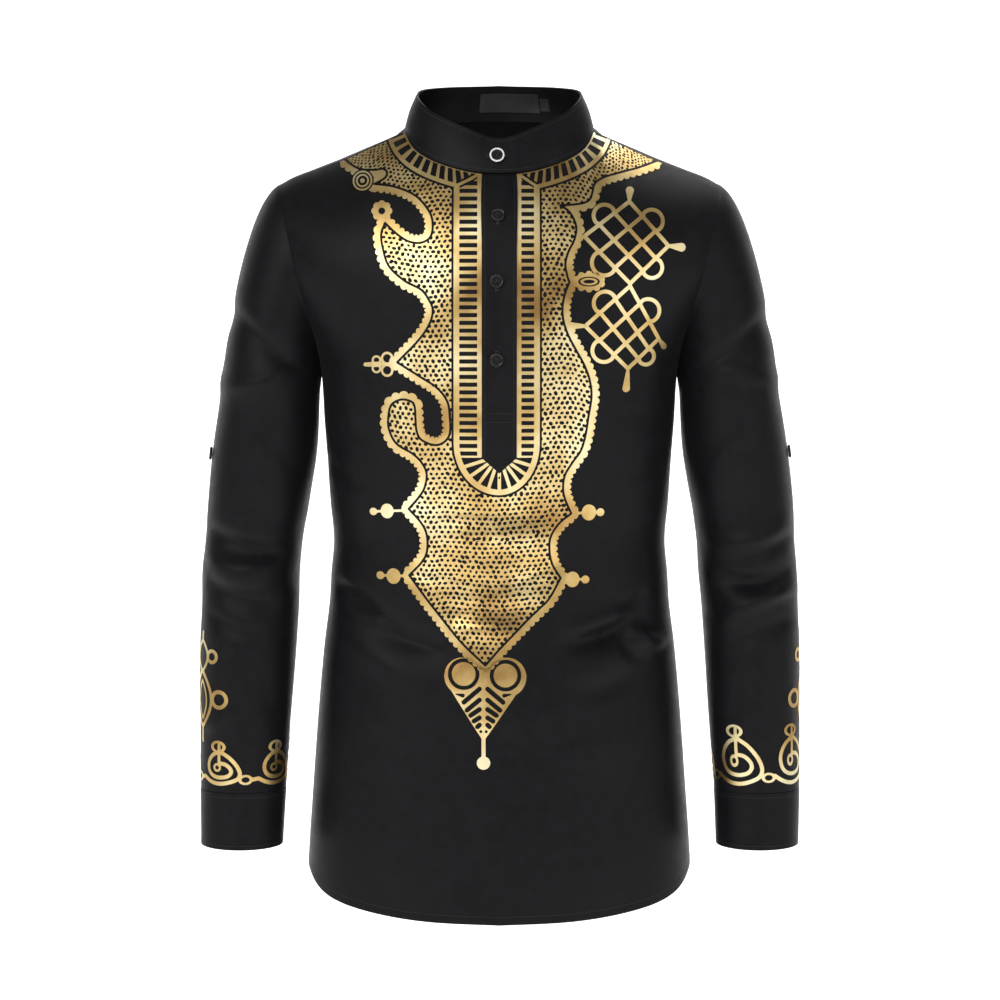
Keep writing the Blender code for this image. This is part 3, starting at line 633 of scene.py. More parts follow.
def shell(name, points, normals, wall, finish, slot_name="cloth", closed=False):
    """A cloth piece as one closed mesh: the grid moved out and in by half a wall, joined round its rims.
    With closed, the last column meets the first."""
    rows, columns = points.shape[:2]
    at = np.arange(rows * columns).reshape(rows, columns)
    if closed:
        at = np.concatenate([at, at[:, :1]], axis=1)
    flat, out = points.reshape(-1, 3), normals.reshape(-1, 3)
    across, up = run_lengths(flat[at])
    uv = np.stack([across, up], axis=-1)
    low, high = slice(None, -1), slice(1, None)
    corners = [(low, low), (low, high), (high, high), (high, low)]
    faces = np.stack([at[c] for c in corners], axis=-1).reshape(-1, 4)
    face_uv = np.stack([uv[c] for c in corners], axis=-2).reshape(-1, 4, 2)
    step = rows * columns
    all_faces, all_uv = [faces, faces[:, ::-1] + step], [face_uv, face_uv[:, ::-1]]
    rims = [(at[0], uv[0]), (at[-1][::-1], uv[-1][::-1])]
    if not closed:
        rims += [(at[::-1, 0], uv[::-1, 0]), (at[:, -1], uv[:, -1])]
    for line, place in rims:
        all_faces.append(np.stack([line[1:], line[:-1], line[:-1] + step, line[1:] + step], axis=-1))
        all_uv.append(np.stack([place[1:], place[:-1], place[:-1], place[1:]], axis=-2))
    faces, face_uv = np.concatenate(all_faces), np.concatenate(all_uv)
    if np.cross(points[0, 1] - points[0, 0], points[1, 1] - points[0, 0]) @ normals[0, 0] < 0:
        faces, face_uv = faces[:, ::-1], face_uv[:, ::-1]
    both = np.concatenate([flat + out * wall / 2, flat - out * wall / 2])
    return piece(name, both, faces, finish, slot_name, face_uv)


def turned(centre, axis, profile, sides=40):
    """Points and faces of a turned form: a profile of (radius, height) carried round an axis, with its two
    ends on the axis."""
    axis = axis / np.linalg.norm(axis)
    u = np.cross(axis, (0.0, 0.0, 1.0))
    u = u / np.linalg.norm(u)
    v = np.cross(axis, u)
    turn = 2 * np.pi * np.arange(sides) / sides
    out = np.cos(turn)[:, None] * u + np.sin(turn)[:, None] * v
    rings = [centre + axis * h + out * r for r, h in profile[1:-1]]
    points = np.concatenate([[centre + axis * profile[0][1]], *rings, [centre + axis * profile[-1][1]]])
    k = np.arange(sides)
    after = (k + 1) % sides
    faces = [np.stack([0 * k, 1 + after, 1 + k], -1)]
    for i in range(len(rings) - 1):
        a, b = 1 + i * sides, 1 + (i + 1) * sides
        faces += [np.stack([a + k, a + after, b + after], -1), np.stack([a + k, b + after, b + k], -1)]
    last = 1 + (len(rings) - 1) * sides
    faces.append(np.stack([last + k, last + after, 0 * k + len(points) - 1], -1))
    faces = np.concatenate(faces)
    if np.linalg.det(points[faces] - points.mean(axis=0)).sum() < 0:
        faces = faces[:, ::-1]
    return points, faces


def together(parts):
    """Several (points, faces) as one, the numbers of each part's faces moved past the points before it."""
    starts = np.cumsum([0] + [len(p) for p, _ in parts[:-1]])
    return np.concatenate([p for p, _ in parts]), np.concatenate([f + n for (_, f), n in zip(parts, starts)])


STITCH_SIDES = 6


def bars(start, end, out, thick, rise=0.5):
    """Points and faces of round-ended bars such as stitches, one from each start to each end: four rings
    of six points whose radius is 0.35, 1, 1 and 0.35 of half the thickness, lifted by rise of it."""
    start, end, out = (np.atleast_2d(a) for a in (start, end, out))
    along = end - start
    along = along / np.linalg.norm(along, axis=-1, keepdims=True)
    side = np.cross(along, out)
    side = side / np.linalg.norm(side, axis=-1, keepdims=True)
    up = np.cross(side, along)
    turn = 2 * np.pi * np.arange(STITCH_SIDES) / STITCH_SIDES
    rings = []
    for share, size in ((0.0, 0.35), (0.14, 1.0), (0.86, 1.0), (1.0, 0.35)):
        middle = start + (end - start) * share + up * thick * rise
        ring_of = np.cos(turn)[None, :, None] * side[:, None] + np.sin(turn)[None, :, None] * up[:, None]
        rings.append(middle[:, None] + ring_of * thick / 2 * size)
    points = np.stack(rings, axis=1).reshape(-1, 3)
    k = np.arange(STITCH_SIDES)
    after = (k + 1) % STITCH_SIDES
    faces = []
    for i in range(3):
        a, b = i * STITCH_SIDES, (i + 1) * STITCH_SIDES
        faces += [np.stack([a + k, a + after, b + after], -1), np.stack([a + k, b + after, b + k], -1)]
    top = 3 * STITCH_SIDES
    fan = np.arange(1, STITCH_SIDES - 1)
    faces += [np.stack([0 * fan, fan + 1, fan], -1), np.stack([top + 0 * fan, top + fan, top + fan + 1], -1)]
    one = np.concatenate(faces)
    if np.linalg.det(points[one] - points[: 4 * STITCH_SIDES].mean(axis=0)).sum() < 0:
        one = one[:, ::-1]
    step = 4 * STITCH_SIDES * np.arange(len(start))
    return points, (one[None] + step[:, None, None]).reshape(-1, 3)


def seam_stitches(line, out, pitch=0.0030, length=0.0022, thick=0.00042):
    """Bars at an even pitch along a line of points, with the cloth's normals along it."""
    run = np.concatenate([[0], np.cumsum(np.linalg.norm(np.diff(line, axis=0), axis=1))])
    starts = np.arange(pitch / 2, run[-1] - pitch, pitch)
    at = lambda where, what: np.stack([np.interp(where, run, what[:, i]) for i in range(3)], axis=-1)
    return bars(at(starts, line), at(starts + length, line), at(starts, out), thick, 0.1)


# Films cut out of a level grid.
CLEAR = 0.10  # millimetres: a grid point is kept at least this far from a film's edge
FILM_LIFT, FILM_THICK = 0.00022, 0.00016


def crossings(f, inside, x, z, rows, columns, first):
    """Where f is 0 on the grid's edges in one direction, and the number of each such point."""
    a = (slice(0, f.shape[0] - rows), slice(0, f.shape[1] - columns))
    b = (slice(rows, None), slice(columns, None))
    crossed = inside[a] != inside[b]
    share = f[a][crossed] / (f[a][crossed] - f[b][crossed])
    number = np.full(crossed.shape, -1)
    number[crossed] = first + np.arange(crossed.sum())
    px = x[a][crossed] + share * (x[b][crossed] - x[a][crossed])
    pz = z[a][crossed] + share * (z[b][crossed] - z[a][crossed])
    return number, px, pz


def cut_out(f, x, z):
    """The part of a level grid where f is above 0, as places, triangles and rim edges. Each cell is two
    triangles, and one that the rim crosses is cut where f, taken as a straight slope, is 0."""
    f = np.where(np.abs(f) < CLEAR, np.where(f > 0, CLEAR, -CLEAR), f)
    f[[0, -1]], f[:, [0, -1]] = -CLEAR, -CLEAR
    inside = f > 0
    number = np.cumsum(inside.ravel()).reshape(f.shape) - 1
    count = int(inside.sum())
    px, pz, edges = [x[inside]], [z[inside]], []
    for rows, columns in ((0, 1), (1, 0), (1, 1)):
        found, ex, ez = crossings(f, inside, x, z, rows, columns, count)
        count += len(ex)
        px.append(ex)
        pz.append(ez)
        edges.append(found)
    across, up, slant = edges
    low, high = slice(None, -1), slice(1, None)
    a, b, c, d = (low, low), (low, high), (high, high), (high, low)
    halves = [
        ((a, b, c), (across[low], up[:, high], slant)),
        ((a, c, d), (slant, across[high], up[:, low])),
    ]
    faces, rim = [], []
    for corners, sides in halves:
        v = [number[k] for k in corners]
        full = [inside[k] for k in corners]
        whole = full[0] & full[1] & full[2]
        faces.append(np.stack([n[whole] for n in v], -1))
        for k in range(3):
            v0, v1, v2 = (v[(k + i) % 3] for i in range(3))
            in0, in1, in2 = (full[(k + i) % 3] for i in range(3))
            e01, e20 = sides[k], sides[(k + 2) % 3]
            one = in0 & ~in1 & ~in2
            faces.append(np.stack([v0[one], e01[one], e20[one]], -1))
            rim.append(np.stack([e01[one], e20[one]], -1))
            two = ~in0 & in1 & in2
            faces.append(np.stack([e01[two], v1[two], v2[two]], -1))
            faces.append(np.stack([e01[two], v2[two], e20[two]], -1))
            rim.append(np.stack([e20[two], e01[two]], -1))
    return np.concatenate(px), np.concatenate(pz), np.concatenate(faces), np.concatenate(rim)


def film(cut, place, lift=FILM_LIFT, thick=FILM_THICK):
    """Points and faces of a closed film: a cut-out laid on a surface, moved out by lift and again by its
    thickness, with a wall round its rim. place gives the surface's points and normals at (x, z)."""
    px, pz, faces, rim = cut
    points, out = place(px, pz)
    low, high = points + out * lift, points + out * (lift + thick)
    n = len(points)
    p, q = rim[:, 0], rim[:, 1]
    wall = [np.stack([p + n, q + n, q], -1), np.stack([p + n, q, p], -1)]
    return np.concatenate([high, low]), np.concatenate([faces, faces[:, ::-1] + n, *wall])


def cells(grid, i, j):
    """A grid's value at row i and column j, whole or not: a straight mix of its cell's four corners."""
    i0 = np.clip(np.floor(i).astype(int), 0, grid.shape[0] - 2)
    j0 = np.clip(np.floor(j).astype(int), 0, grid.shape[1] - 2)
    di, dj = (i - i0)[..., None], (j - j0)[..., None]
    low = grid[i0, j0] * (1 - dj) + grid[i0, j0 + 1] * dj
    high = grid[i0 + 1, j0] * (1 - dj) + grid[i0 + 1, j0 + 1] * dj
    return low * (1 - di) + high * di


# Materials.
def group(name, inputs, outputs):
    """An empty shader node group with these named sockets, and its two ends."""
    made = bpy.data.node_groups.new(name, "ShaderNodeTree")
    for label, kind, value in inputs:
        socket = made.interface.new_socket(label, in_out="INPUT", socket_type=kind)
        socket.default_value = value
    for label, kind in outputs:
        made.interface.new_socket(label, in_out="OUTPUT", socket_type=kind)
    return made, made.nodes.new("NodeGroupInput"), made.nodes.new("NodeGroupOutput")


def wire(tree, kind, links=None, **values):
    """A node of this kind with its settings, and its inputs linked or set by name or number."""
    made = tree.nodes.new(kind)
    for label, value in values.items():
        setattr(made, label, value)
    for key, value in (links or {}).items():
        if isinstance(value, bpy.types.NodeSocket):
            tree.links.new(value, made.inputs[key])
        else:
            made.inputs[key].default_value = value
    return made


def weave_group():
    """Fine weave: two sine waves across the cloth's own places, whichever is higher, with a slow unevenness
    of the yarns. Height is the yarns' height from 0 to 1, and Slub is the unevenness."""
    number = "NodeSocketFloat"
    tree, start, end = group(
        "weave",
        [("Threads per metre", number, 2000.0), ("Slub size", number, 90.0)],
        [("Height", number), ("Slub", number)],
    )
    place = wire(tree, "ShaderNodeUVMap", uv_map="cloth").outputs["UV"]
    scaled = wire(
        tree, "ShaderNodeVectorMath", {0: place, 3: start.outputs["Threads per metre"]}, operation="SCALE"
    )
    apart = wire(tree, "ShaderNodeSeparateXYZ", {0: scaled.outputs[0]})
    waves = []
    for axis in (0, 1):
        turned_by = wire(tree, "ShaderNodeMath", {0: apart.outputs[axis], 1: 6.2832}, operation="MULTIPLY")
        waves.append(wire(tree, "ShaderNodeMath", {0: turned_by.outputs[0]}, operation="SINE"))
    top = wire(tree, "ShaderNodeMath", {0: waves[0].outputs[0], 1: waves[1].outputs[0]}, operation="MAXIMUM")
    half = wire(tree, "ShaderNodeMath", {0: top.outputs[0], 1: 0.5, 2: 0.5}, operation="MULTIPLY_ADD")
    spot = wire(tree, "ShaderNodeTexCoord").outputs["Object"]
    slub = wire(
        tree, "ShaderNodeTexNoise", {"Vector": spot, "Scale": start.outputs["Slub size"], "Detail": 3.0}
    )
    tree.links.new(half.outputs[0], end.inputs["Height"])
    tree.links.new(slub.outputs[0], end.inputs["Slub"])
    return tree


def grain_group():
    """Grain and cloudiness: a fine and a slow noise over Object coordinates, each from 0 to 1. On the gold
    foil the slow noise carries painted light and shade as well as the foil's own uneven tone.
    """
    number = "NodeSocketFloat"
    tree, start, end = group(
        "grain",
        [("Fine size", number, 900.0), ("Cloud size", number, 12.0)],
        [("Fine", number), ("Cloud", number)],
    )
    spot = wire(tree, "ShaderNodeTexCoord").outputs["Object"]
    for label, size, detail in (("Fine", "Fine size", 2.0), ("Cloud", "Cloud size", 4.0)):
        noise = wire(
            tree, "ShaderNodeTexNoise", {"Vector": spot, "Scale": start.outputs[size], "Detail": detail}
        )
        tree.links.new(noise.outputs[0], end.inputs[label])
    return tree


WEAVE, GRAIN = weave_group(), grain_group()


def ramp(tree, factor, stops):
    """A colour ramp fed by this factor, through (place, grey or colour) stops."""
    made = wire(tree, "ShaderNodeValToRGB", {"Fac": factor})
    bar_of = made.color_ramp
    while len(bar_of.elements) < len(stops):
        bar_of.elements.new(0.5)
    for element, (where, colour) in zip(bar_of.elements, stops):
        element.position = where
        element.color = (*(colour if hasattr(colour, "__len__") else (colour,) * 3), 1.0)
    return made.outputs["Color"]


def material(name, colour_stops, rough_stops, by="Cloud", bump=None, sizes=(900.0, 12.0), **sockets):
    """A Principled BSDF whose colour and roughness follow the grain's slow or fine noise, with a bump of
    (height in metres, which noise). sockets are set as they are."""
    made = bpy.data.materials.new(name)
    made.use_nodes = True
    tree = made.node_tree
    shader = tree.nodes["Principled BSDF"]
    grain = wire(tree, "ShaderNodeGroup", node_tree=GRAIN)
    grain.inputs["Fine size"].default_value, grain.inputs["Cloud size"].default_value = sizes
    tree.links.new(ramp(tree, grain.outputs[by], colour_stops), shader.inputs["Base Color"])
    tree.links.new(ramp(tree, grain.outputs[by], rough_stops), shader.inputs["Roughness"])
    if bump:
        height, which = bump
        bumped = wire(
            tree,
            "ShaderNodeBump",
            {"Height": grain.outputs[which], "Distance": height, "Strength": 1.0},
        )
        tree.links.new(bumped.outputs[0], shader.inputs["Normal"])
    for label, value in sockets.items():
        shader.inputs[label.replace("_", " ")].default_value = value
    return made


def cloth_material(name, colour_stops, rough_stops, threads, weave_height, **sockets):
    """Woven cloth: colour and roughness follow the slub, and the weave is a bump."""
    made = bpy.data.materials.new(name)
    made.use_nodes = True
    tree = made.node_tree
    shader = tree.nodes["Principled BSDF"]
    weave = wire(tree, "ShaderNodeGroup", node_tree=WEAVE)
    weave.inputs["Threads per metre"].default_value = threads
    tree.links.new(ramp(tree, weave.outputs["Slub"], colour_stops), shader.inputs["Base Color"])
    tree.links.new(ramp(tree, weave.outputs["Slub"], rough_stops), shader.inputs["Roughness"])
    bumped = wire(
        tree,
        "ShaderNodeBump",
        {"Height": weave.outputs["Height"], "Distance": weave_height, "Strength": 0.6},
    )
    tree.links.new(bumped.outputs[0], shader.inputs["Normal"])
    for label, value in sockets.items():
        shader.inputs[label.replace("_", " ")].default_value = value
    return made


BLACK_CLOTH = cloth_material(
    "black_satin_cotton",
    [(0.30, (0.0046, 0.0046, 0.0054)), (0.70, (0.0066, 0.0066, 0.0080))],
    [(0.30, 0.38), (0.70, 0.48)],
    threads=2200.0,
    weave_height=0.00006,
    Sheen_Weight=0.02,
    Sheen_Roughness=0.45,
    Specular_IOR_Level=0.11,
)
LABEL_CLOTH = cloth_material(
    "black_label_satin",
    [(0.30, (0.0090, 0.0090, 0.0100)), (0.70, (0.0160, 0.0160, 0.0180))],
    [(0.30, 0.28), (0.70, 0.36)],
    threads=3200.0,
    weave_height=0.00005,
    Sheen_Weight=0.15,
)
# Gold foil: slow brown-to-cream colour blotches, painted light and shade, partly the foil's own uneven tone.
GOLD_FOIL = material(
    "gold_foil",
    [
        (0.32, (0.44, 0.26, 0.085)),
        (0.44, (0.66, 0.46, 0.18)),
        (0.54, (0.82, 0.66, 0.34)),
        (0.66, (0.94, 0.86, 0.56)),
    ],
    [(0.30, 0.38), (0.70, 0.50)],
    bump=(0.00010, "Fine"),
    sizes=(700.0, 14.0),
    Metallic=1.0,
)
BLACK_BUTTON = material(
    "black_button",
    [(0.35, 0.0060), (0.65, 0.0110)],
    [(0.35, 0.22), (0.65, 0.30)],
    bump=(0.00002, "Cloud"),
    sizes=(1500.0, 260.0),
    Coat_Weight=0.2,
    Coat_Roughness=0.12,
    Specular_IOR_Level=0.3,
)
PEARL = material(
    "pearl_rim",
    [(0.35, (0.66, 0.66, 0.64)), (0.65, (0.84, 0.84, 0.83))],
    [(0.35, 0.16), (0.65, 0.26)],
    bump=(0.00002, "Cloud"),
    sizes=(1500.0, 420.0),
    Coat_Weight=0.4,
    Coat_Roughness=0.08,
)
BLACK_THREAD = material(
    "black_thread",
    [(0.35, 0.0100), (0.65, 0.0220)],
    [(0.35, 0.45), (0.65, 0.60)],
    by="Fine",
    bump=(0.00004, "Fine"),
    sizes=(2600.0, 300.0),
)


# Cloth pieces, on the part's surfaces with closer rows and columns.
def steps(*ends_and_counts):
    """Shares in even steps between each two ends, given as end, count, end, count, ..., end."""
    ends, counts = ends_and_counts[::2], ends_and_counts[1::2]
    lines = [np.linspace(a, b, n + 1)[1:] for a, b, n in zip(ends[:-1], ends[1:], counts)]
    return np.concatenate([[ends[0]], *lines])


def mirrored(shares):
    """Shares from 0 to 1 carried on to the other side, from -1 to 1."""
    return np.concatenate([-shares[::-1], shares[1:]])


ACROSS = mirrored(steps(0, 4, SHARE_PLACKET, 26, SHARE_NECK, 34, 1))
UP = steps(0, 132, 1, 26, 2, 36, 3)
ROW_FULL = 132 + 26  # the row of the deepest armhole


def panel_grid(face):
    """The panel's points and normals, its side and shoulder edges standing back half a gap."""
    s, w = np.meshgrid(ACROSS, UP)
    points, normals = panel(face, s, w), panel_normal(face, s, w)
    sign = -1 if face == "front" else 1
    low = w[:, 0] <= 1
    for column in (0, -1):
        points[low, column, 1] += sign * (GAP / 2 + 0.0001)
    points[-1, np.abs(ACROSS) >= SHARE_NECK, 1] += sign * (GAP / 2 + 0.0001)
    return points, normals


FRONT, FRONT_OUT = panel_grid("front")
BACK, BACK_OUT = panel_grid("back")
front = shell("shirt_front", FRONT, FRONT_OUT, WALL, BLACK_CLOTH)
back = shell("shirt_back", BACK, BACK_OUT, WALL, BLACK_CLOTH)
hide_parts("front")
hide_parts("back")

ROUND = steps(0, 96, 2)[:-1]
DOWN = steps(0, 40, 1, 118, 2)
SLEEVES, sleeves = {}, {}
TUCK = 0.0006  # the sleeve's edge runs this far into the armhole seam
for name, side in (("left", -1), ("right", 1)):
    q, r = np.meshgrid(ROUND, DOWN)
    SLEEVES[side] = sleeve(side, q, r), sleeve_normal(side, q, r)
    SLEEVES[side][0][0, :, 0] -= side * TUCK
    sleeves[side] = shell("shirt_sleeve_" + name, *SLEEVES[side], WALL, BLACK_CLOTH, closed=True)
    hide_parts("sleeve_" + name)

# Cuffs: a strip from under its lap on the inner back round to over it, with a rounded end.
CUFF_START, CUFF_RISE, CUFF_LAP = 1.62, 1.72, 0.20
LIFT = CUFF_WALL + GAP + 0.0003
CUFF_CORNER = 0.18


def cuff_grid(side):
    """The cuff's points and normals; its last end rises over the first and its corner is rounded off."""
    along = steps(0, 84, CUFF_RISE, 16, 2, 10, 2 + CUFF_LAP)
    lift = LIFT * np.clip((along - CUFF_RISE) / 0.26, 0, 1)
    q, v = np.meshgrid(CUFF_START + along, np.linspace(0, 1, 15))
    corner = CUFF_CORNER * np.clip(1 - (2 + CUFF_LAP - along) / 0.07, 0, 1) ** 2
    v = v * (1 - corner)
    normals = np.stack([-side * np.cos(np.pi * q), -np.sin(np.pi * q), 0 * q], axis=-1)
    return cuff(side, q, v, lift + 0 * q), normals


CUFF_GRIDS = {side: cuff_grid(side) for side in (-1, 1)}
for name, side in (("left", -1), ("right", 1)):
    shell("shirt_cuff_" + name, *CUFF_GRIDS[side], CUFF_WALL, BLACK_CLOTH)
    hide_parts("cuff_" + name)

# Collar band: it starts under the lap at the placket's edge on +X and ends over it at the other edge.
TURN_LAP = 0.40  # radians from the centre front where the upper end starts to rise
TURNS = -steps(
    -TURN_PLACKET, 6, 0, 14, TURN_LAP, 66, 2 * np.pi - TURN_LAP, 14, 2 * np.pi, 6, 2 * np.pi + TURN_PLACKET
)
BAND_LIFT = BAND_WALL + GAP + 0.0002
BAND_FOOT, BAND_FOOT_BACK = -0.013, -0.040  # the lower edge runs into the seam, as shares of the height


def band_grid():
    """The collar band's points and normals."""
    lift = BAND_LIFT * np.clip((TURN_LAP - (TURNS + 2 * np.pi)) / (TURN_LAP - TURN_PLACKET), 0, 1)
    turn, v = np.meshgrid(TURNS, np.linspace(0, 1, 13))
    v = v + (1 - v) * (BAND_FOOT + (BAND_FOOT_BACK - BAND_FOOT) * np.sin(turn / 2) ** 2)
    normals = normal(lambda a, b: band(a, b, 0), turn, v, (-99, -1), (99, 1))
    points = band(turn, v, lift + 0 * turn)
    return points, normals if (normals[..., 0] * points[..., 0]).sum() > 0 else -normals


BAND, BAND_OUT = band_grid()
collar = shell("shirt_collar_band", BAND, BAND_OUT, BAND_WALL, BLACK_CLOTH)
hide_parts("collar_band")

# Placket: a pointed strip on the front panel's own points, moved out.
OVER = WALL / 2 + GAP + 0.0002 + WALL / 2
PLACKET_TOP = 2.955


def placket_grid():
    """The placket's points and normals: its lower row dips to a point at the centre."""
    s = np.linspace(-SHARE_PLACKET, SHARE_PLACKET, 13)
    dip = SHARE_PLACKET_END + (SHARE_PLACKET_TIP - SHARE_PLACKET_END) * (1 - np.abs(s) / SHARE_PLACKET)
    t = np.linspace(0, 1, 96)[:, None]
    w = dip * (1 - t) + PLACKET_TOP * t
    s = s + 0 * w
    out = panel_normal("front", s, w)
    return panel("front", s, w) + out * OVER, out


PLACKET, PLACKET_OUT = placket_grid()
placket = shell("shirt_placket", PLACKET, PLACKET_OUT, WALL, BLACK_CLOTH)
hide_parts("placket")

# Bare neck label and size tag inside the band at the back.
LABELS = ("neck_label", -0.0195, 0.0405, 0.24, 0.79), ("size_tag", 0.0415, 0.0505, 0.30, 0.66)
for name, x0, x1, v0, v1 in LABELS:
    ends = [np.pi - angle_at(abs(x) / 0.0875, 2.1) * np.sign(x) for x in (x1, x0)]
    turn, v = np.meshgrid(np.linspace(*ends, 25), np.linspace(v0, v1, 11))
    n = normal(lambda a, b: band(a, b, 0), turn, v, (-99, 0), (99, 1))
    n = n * np.sign(n[..., 1:2])
    inside = band(turn, v, 0 * turn) - n * (BAND_WALL / 2 + GAP + LABEL_WALL / 2)
    made = shell("shirt_" + name, inside, n, LABEL_WALL, LABEL_CLOTH, "label")
    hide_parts(name)

# Buttons: a dished form with four holes and crossed thread.
BUTTON = [
    (0, 0),
    (0.0050, 0),
    (0.0062, 0.0005),
    (0.0067, 0.0013),
    (0.0066, 0.0022),
    (0.0060, 0.0028),
    (0.0054, 0.0028),
    (0.0047, 0.0022),
    (0.0042, 0.0015),
    (0, 0.0013),
]
PLATE_RADIUS, HOLE_RADIUS, HOLE_PLACE = 4.4, 0.75, 1.15  # millimetres
PLATE_LIFT, PLATE_THICK = 0.0014, 0.0004
THREAD = 0.0005


def frame_of(axis):
    """Two directions across an axis, the first level."""
    axis = axis / np.linalg.norm(axis)
    level = np.cross(axis, (0.0, 0.0, 1.0))
    level = level / np.linalg.norm(level)
    return axis, -level, np.cross(axis, -level)


def button(name, at, axis, finish, slot_name="button", size=1.0, rim=None):
    """A button: the turned form, a plate with four holes in its dish and two threads crossed over it. With
    a rim, a ring of that finish lies round the dish."""
    axis, right, up = frame_of(np.array(axis, float))
    x, z = np.meshgrid(*[np.arange(-PLATE_RADIUS - 0.3, PLATE_RADIUS + 0.31, 0.2)] * 2)
    f = PLATE_RADIUS - np.hypot(x, z)
    for h in (-HOLE_PLACE, HOLE_PLACE):
        for k in (-HOLE_PLACE, HOLE_PLACE):
            f = np.minimum(f, np.hypot(x - h, z - k) - HOLE_RADIUS)
    on_plate = lambda px, pz: (
        at + (px[:, None] * right + pz[:, None] * up) * size / 1000,
        np.broadcast_to(axis, (len(px), 3)),
    )
    plate = film(cut_out(f, x, z), on_plate, PLATE_LIFT * size, PLATE_THICK * size)
    profile = [(r * size, h * size) for r, h in BUTTON]
    made = [piece("shirt_" + name, *together([turned(at, axis, profile, 56), plate]), finish, slot_name)]
    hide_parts(name)
    holes = [np.array([h * right + k * up for h, k in pair]) for pair in (
        ((-HOLE_PLACE, -HOLE_PLACE), (HOLE_PLACE, -HOLE_PLACE)),
        ((HOLE_PLACE, HOLE_PLACE), (-HOLE_PLACE, HOLE_PLACE)),
    )]
    start, end = (at + axis * (PLATE_LIFT + PLATE_THICK) * size + h * size / 1000 for h in holes)
    sewn = bars(start, end, np.array([axis, axis]), THREAD, 0.2)
    made.append(piece("thread_" + name, *sewn, BLACK_THREAD, "thread"))
    if rim:
        low, high = 0.0022 * size, 0.00335 * size
        ring_profile = [(r * size, h) for r, h in ((0.0050, low), (0.0066, low))]
        made.append(rim_ring("rim_" + name, at, (axis, right, up), ring_profile, high, rim, slot_name))
    return made


def rim_ring(name, at, directions, edges, high, finish, slot_name):
    """A flat-bottomed ring with a rounded top between two radii: a half ellipse carried round the axis."""
    axis, right, up = directions
    (r0, low), (r1, _) = edges
    round_it = np.linspace(0, 2 * np.pi, 65)[:-1]
    across = np.linspace(0, np.pi, 9)
    radius = (r0 + r1) / 2 - (r1 - r0) / 2 * np.cos(across)
    height = low + (high - low) * np.sin(across)
    out = np.cos(round_it)[:, None] * right + np.sin(round_it)[:, None] * up
    points = at + out[None] * radius[:, None, None] + axis * height[:, None, None]
    rows, columns = points.shape[:2]
    n = np.arange(rows * columns).reshape(rows, columns)
    n = np.concatenate([n, n[:, :1]], axis=1)
    n = np.concatenate([n, n[:1]])
    faces = np.stack([n[:-1, :-1], n[:-1, 1:], n[1:, 1:], n[1:, :-1]], -1).reshape(-1, 4)
    flat = points.reshape(-1, 3)
    corner = flat[faces[:, :3]]
    facing = np.cross(corner[:, 1] - corner[:, 0], corner[:, 2] - corner[:, 0]) @ axis
    if facing[: (rows - 1) * columns].sum() < 0:
        faces = faces[:, ::-1]
    return piece(name, flat, faces, finish, slot_name)


buttons = []
for number, (x, z) in enumerate([(-0.0015, -0.087), (-0.0025, -0.149), (-0.0025, -0.224)], 1):
    at, n = on_front(x, z, OVER + WALL / 2 + GAP)
    buttons += button(f"button_{number}", at, n, BLACK_BUTTON)

at = band(-0.024, 0.49, BAND_LIFT + BAND_WALL / 2 + GAP + 0.0003)
n = normal(lambda a, b: band(a, b, 0), np.array(-0.024), np.array(0.49), (-99, 0), (99, 1))
n = n if n[1] < 0 else -n
collar_button = button("button_collar", at, n, BLACK_BUTTON, "pearl_button", 1.1, PEARL)

for name, side, z in (("tab_button_left", -1, -0.322), ("tab_button_right", 1, -0.320)):
    q, r = np.array(0.965), np.array(1 + (LEVEL_BICEPS - z) / (LEVEL_BICEPS - LEVEL_CUFF))
    n = sleeve_normal(side, q, r)
    button(name, sleeve(side, q, r) + n * (WALL / 2 + GAP - 0.0003), n, BLACK_BUTTON)

for name, side in (("cuff_button_left", -1), ("cuff_button_right", 1)):
    q = np.array(CUFF_START + 0.10)
    n = np.array([-side * np.cos(np.pi * q), -np.sin(np.pi * q), 0.0])
    at = cuff(side, q, np.array(0.48), np.array(LIFT)) + n * (CUFF_WALL / 2 + GAP + 0.0004)
    button(name, at, n, BLACK_BUTTON)


# Drawing, in millimetres: every function is above 0 inside its form and counts distance to its edge.
def level_grid(x0, x1, z0, z1, pitch):
    """Evenly spaced x and z over a rectangle."""
    return np.meshgrid(np.arange(x0, x1 + pitch, pitch), np.arange(z0, z1 + pitch, pitch))


def disc(x, z, centre, radius, flat=1.0):
    """A disc, or an ellipse whose height is flat times its width."""
    return radius - np.hypot(x - centre[0], (z - centre[1]) / flat)


def loop_line(x, z, centre, radius, width, flat=1.0):
    """A line of this width round a circle or an ellipse."""
    return width / 2 - np.abs(disc(x, z, centre, radius, flat))


def bar(x, z, a, b, width, end_width=None):
    """A round-ended bar from a to b, whose width may change on the way."""
    ax, az, dx, dz = a[0], a[1], b[0] - a[0], b[1] - a[1]
    t = np.clip(((x - ax) * dx + (z - az) * dz) / (dx * dx + dz * dz), 0, 1)
    wide = width if end_width is None else width + (end_width - width) * t
    return wide / 2 - np.hypot(x - ax - t * dx, z - az - t * dz)


def curve(points, count=7):
    """A smooth line through the points: a cubic between each two, with slopes from their neighbours."""
    p = np.array(points, float)
    ends = np.concatenate([2 * p[:1] - p[1:2], p, 2 * p[-1:] - p[-2:-1]])
    slope = (ends[2:] - ends[:-2]) / 2
    t = (np.arange(count) / count)[None, :, None]
    line = hermite(p[:-1, None], slope[:-1, None], p[1:, None], slope[1:, None], t)
    return np.concatenate([line.reshape(-1, 2), p[-1:]])


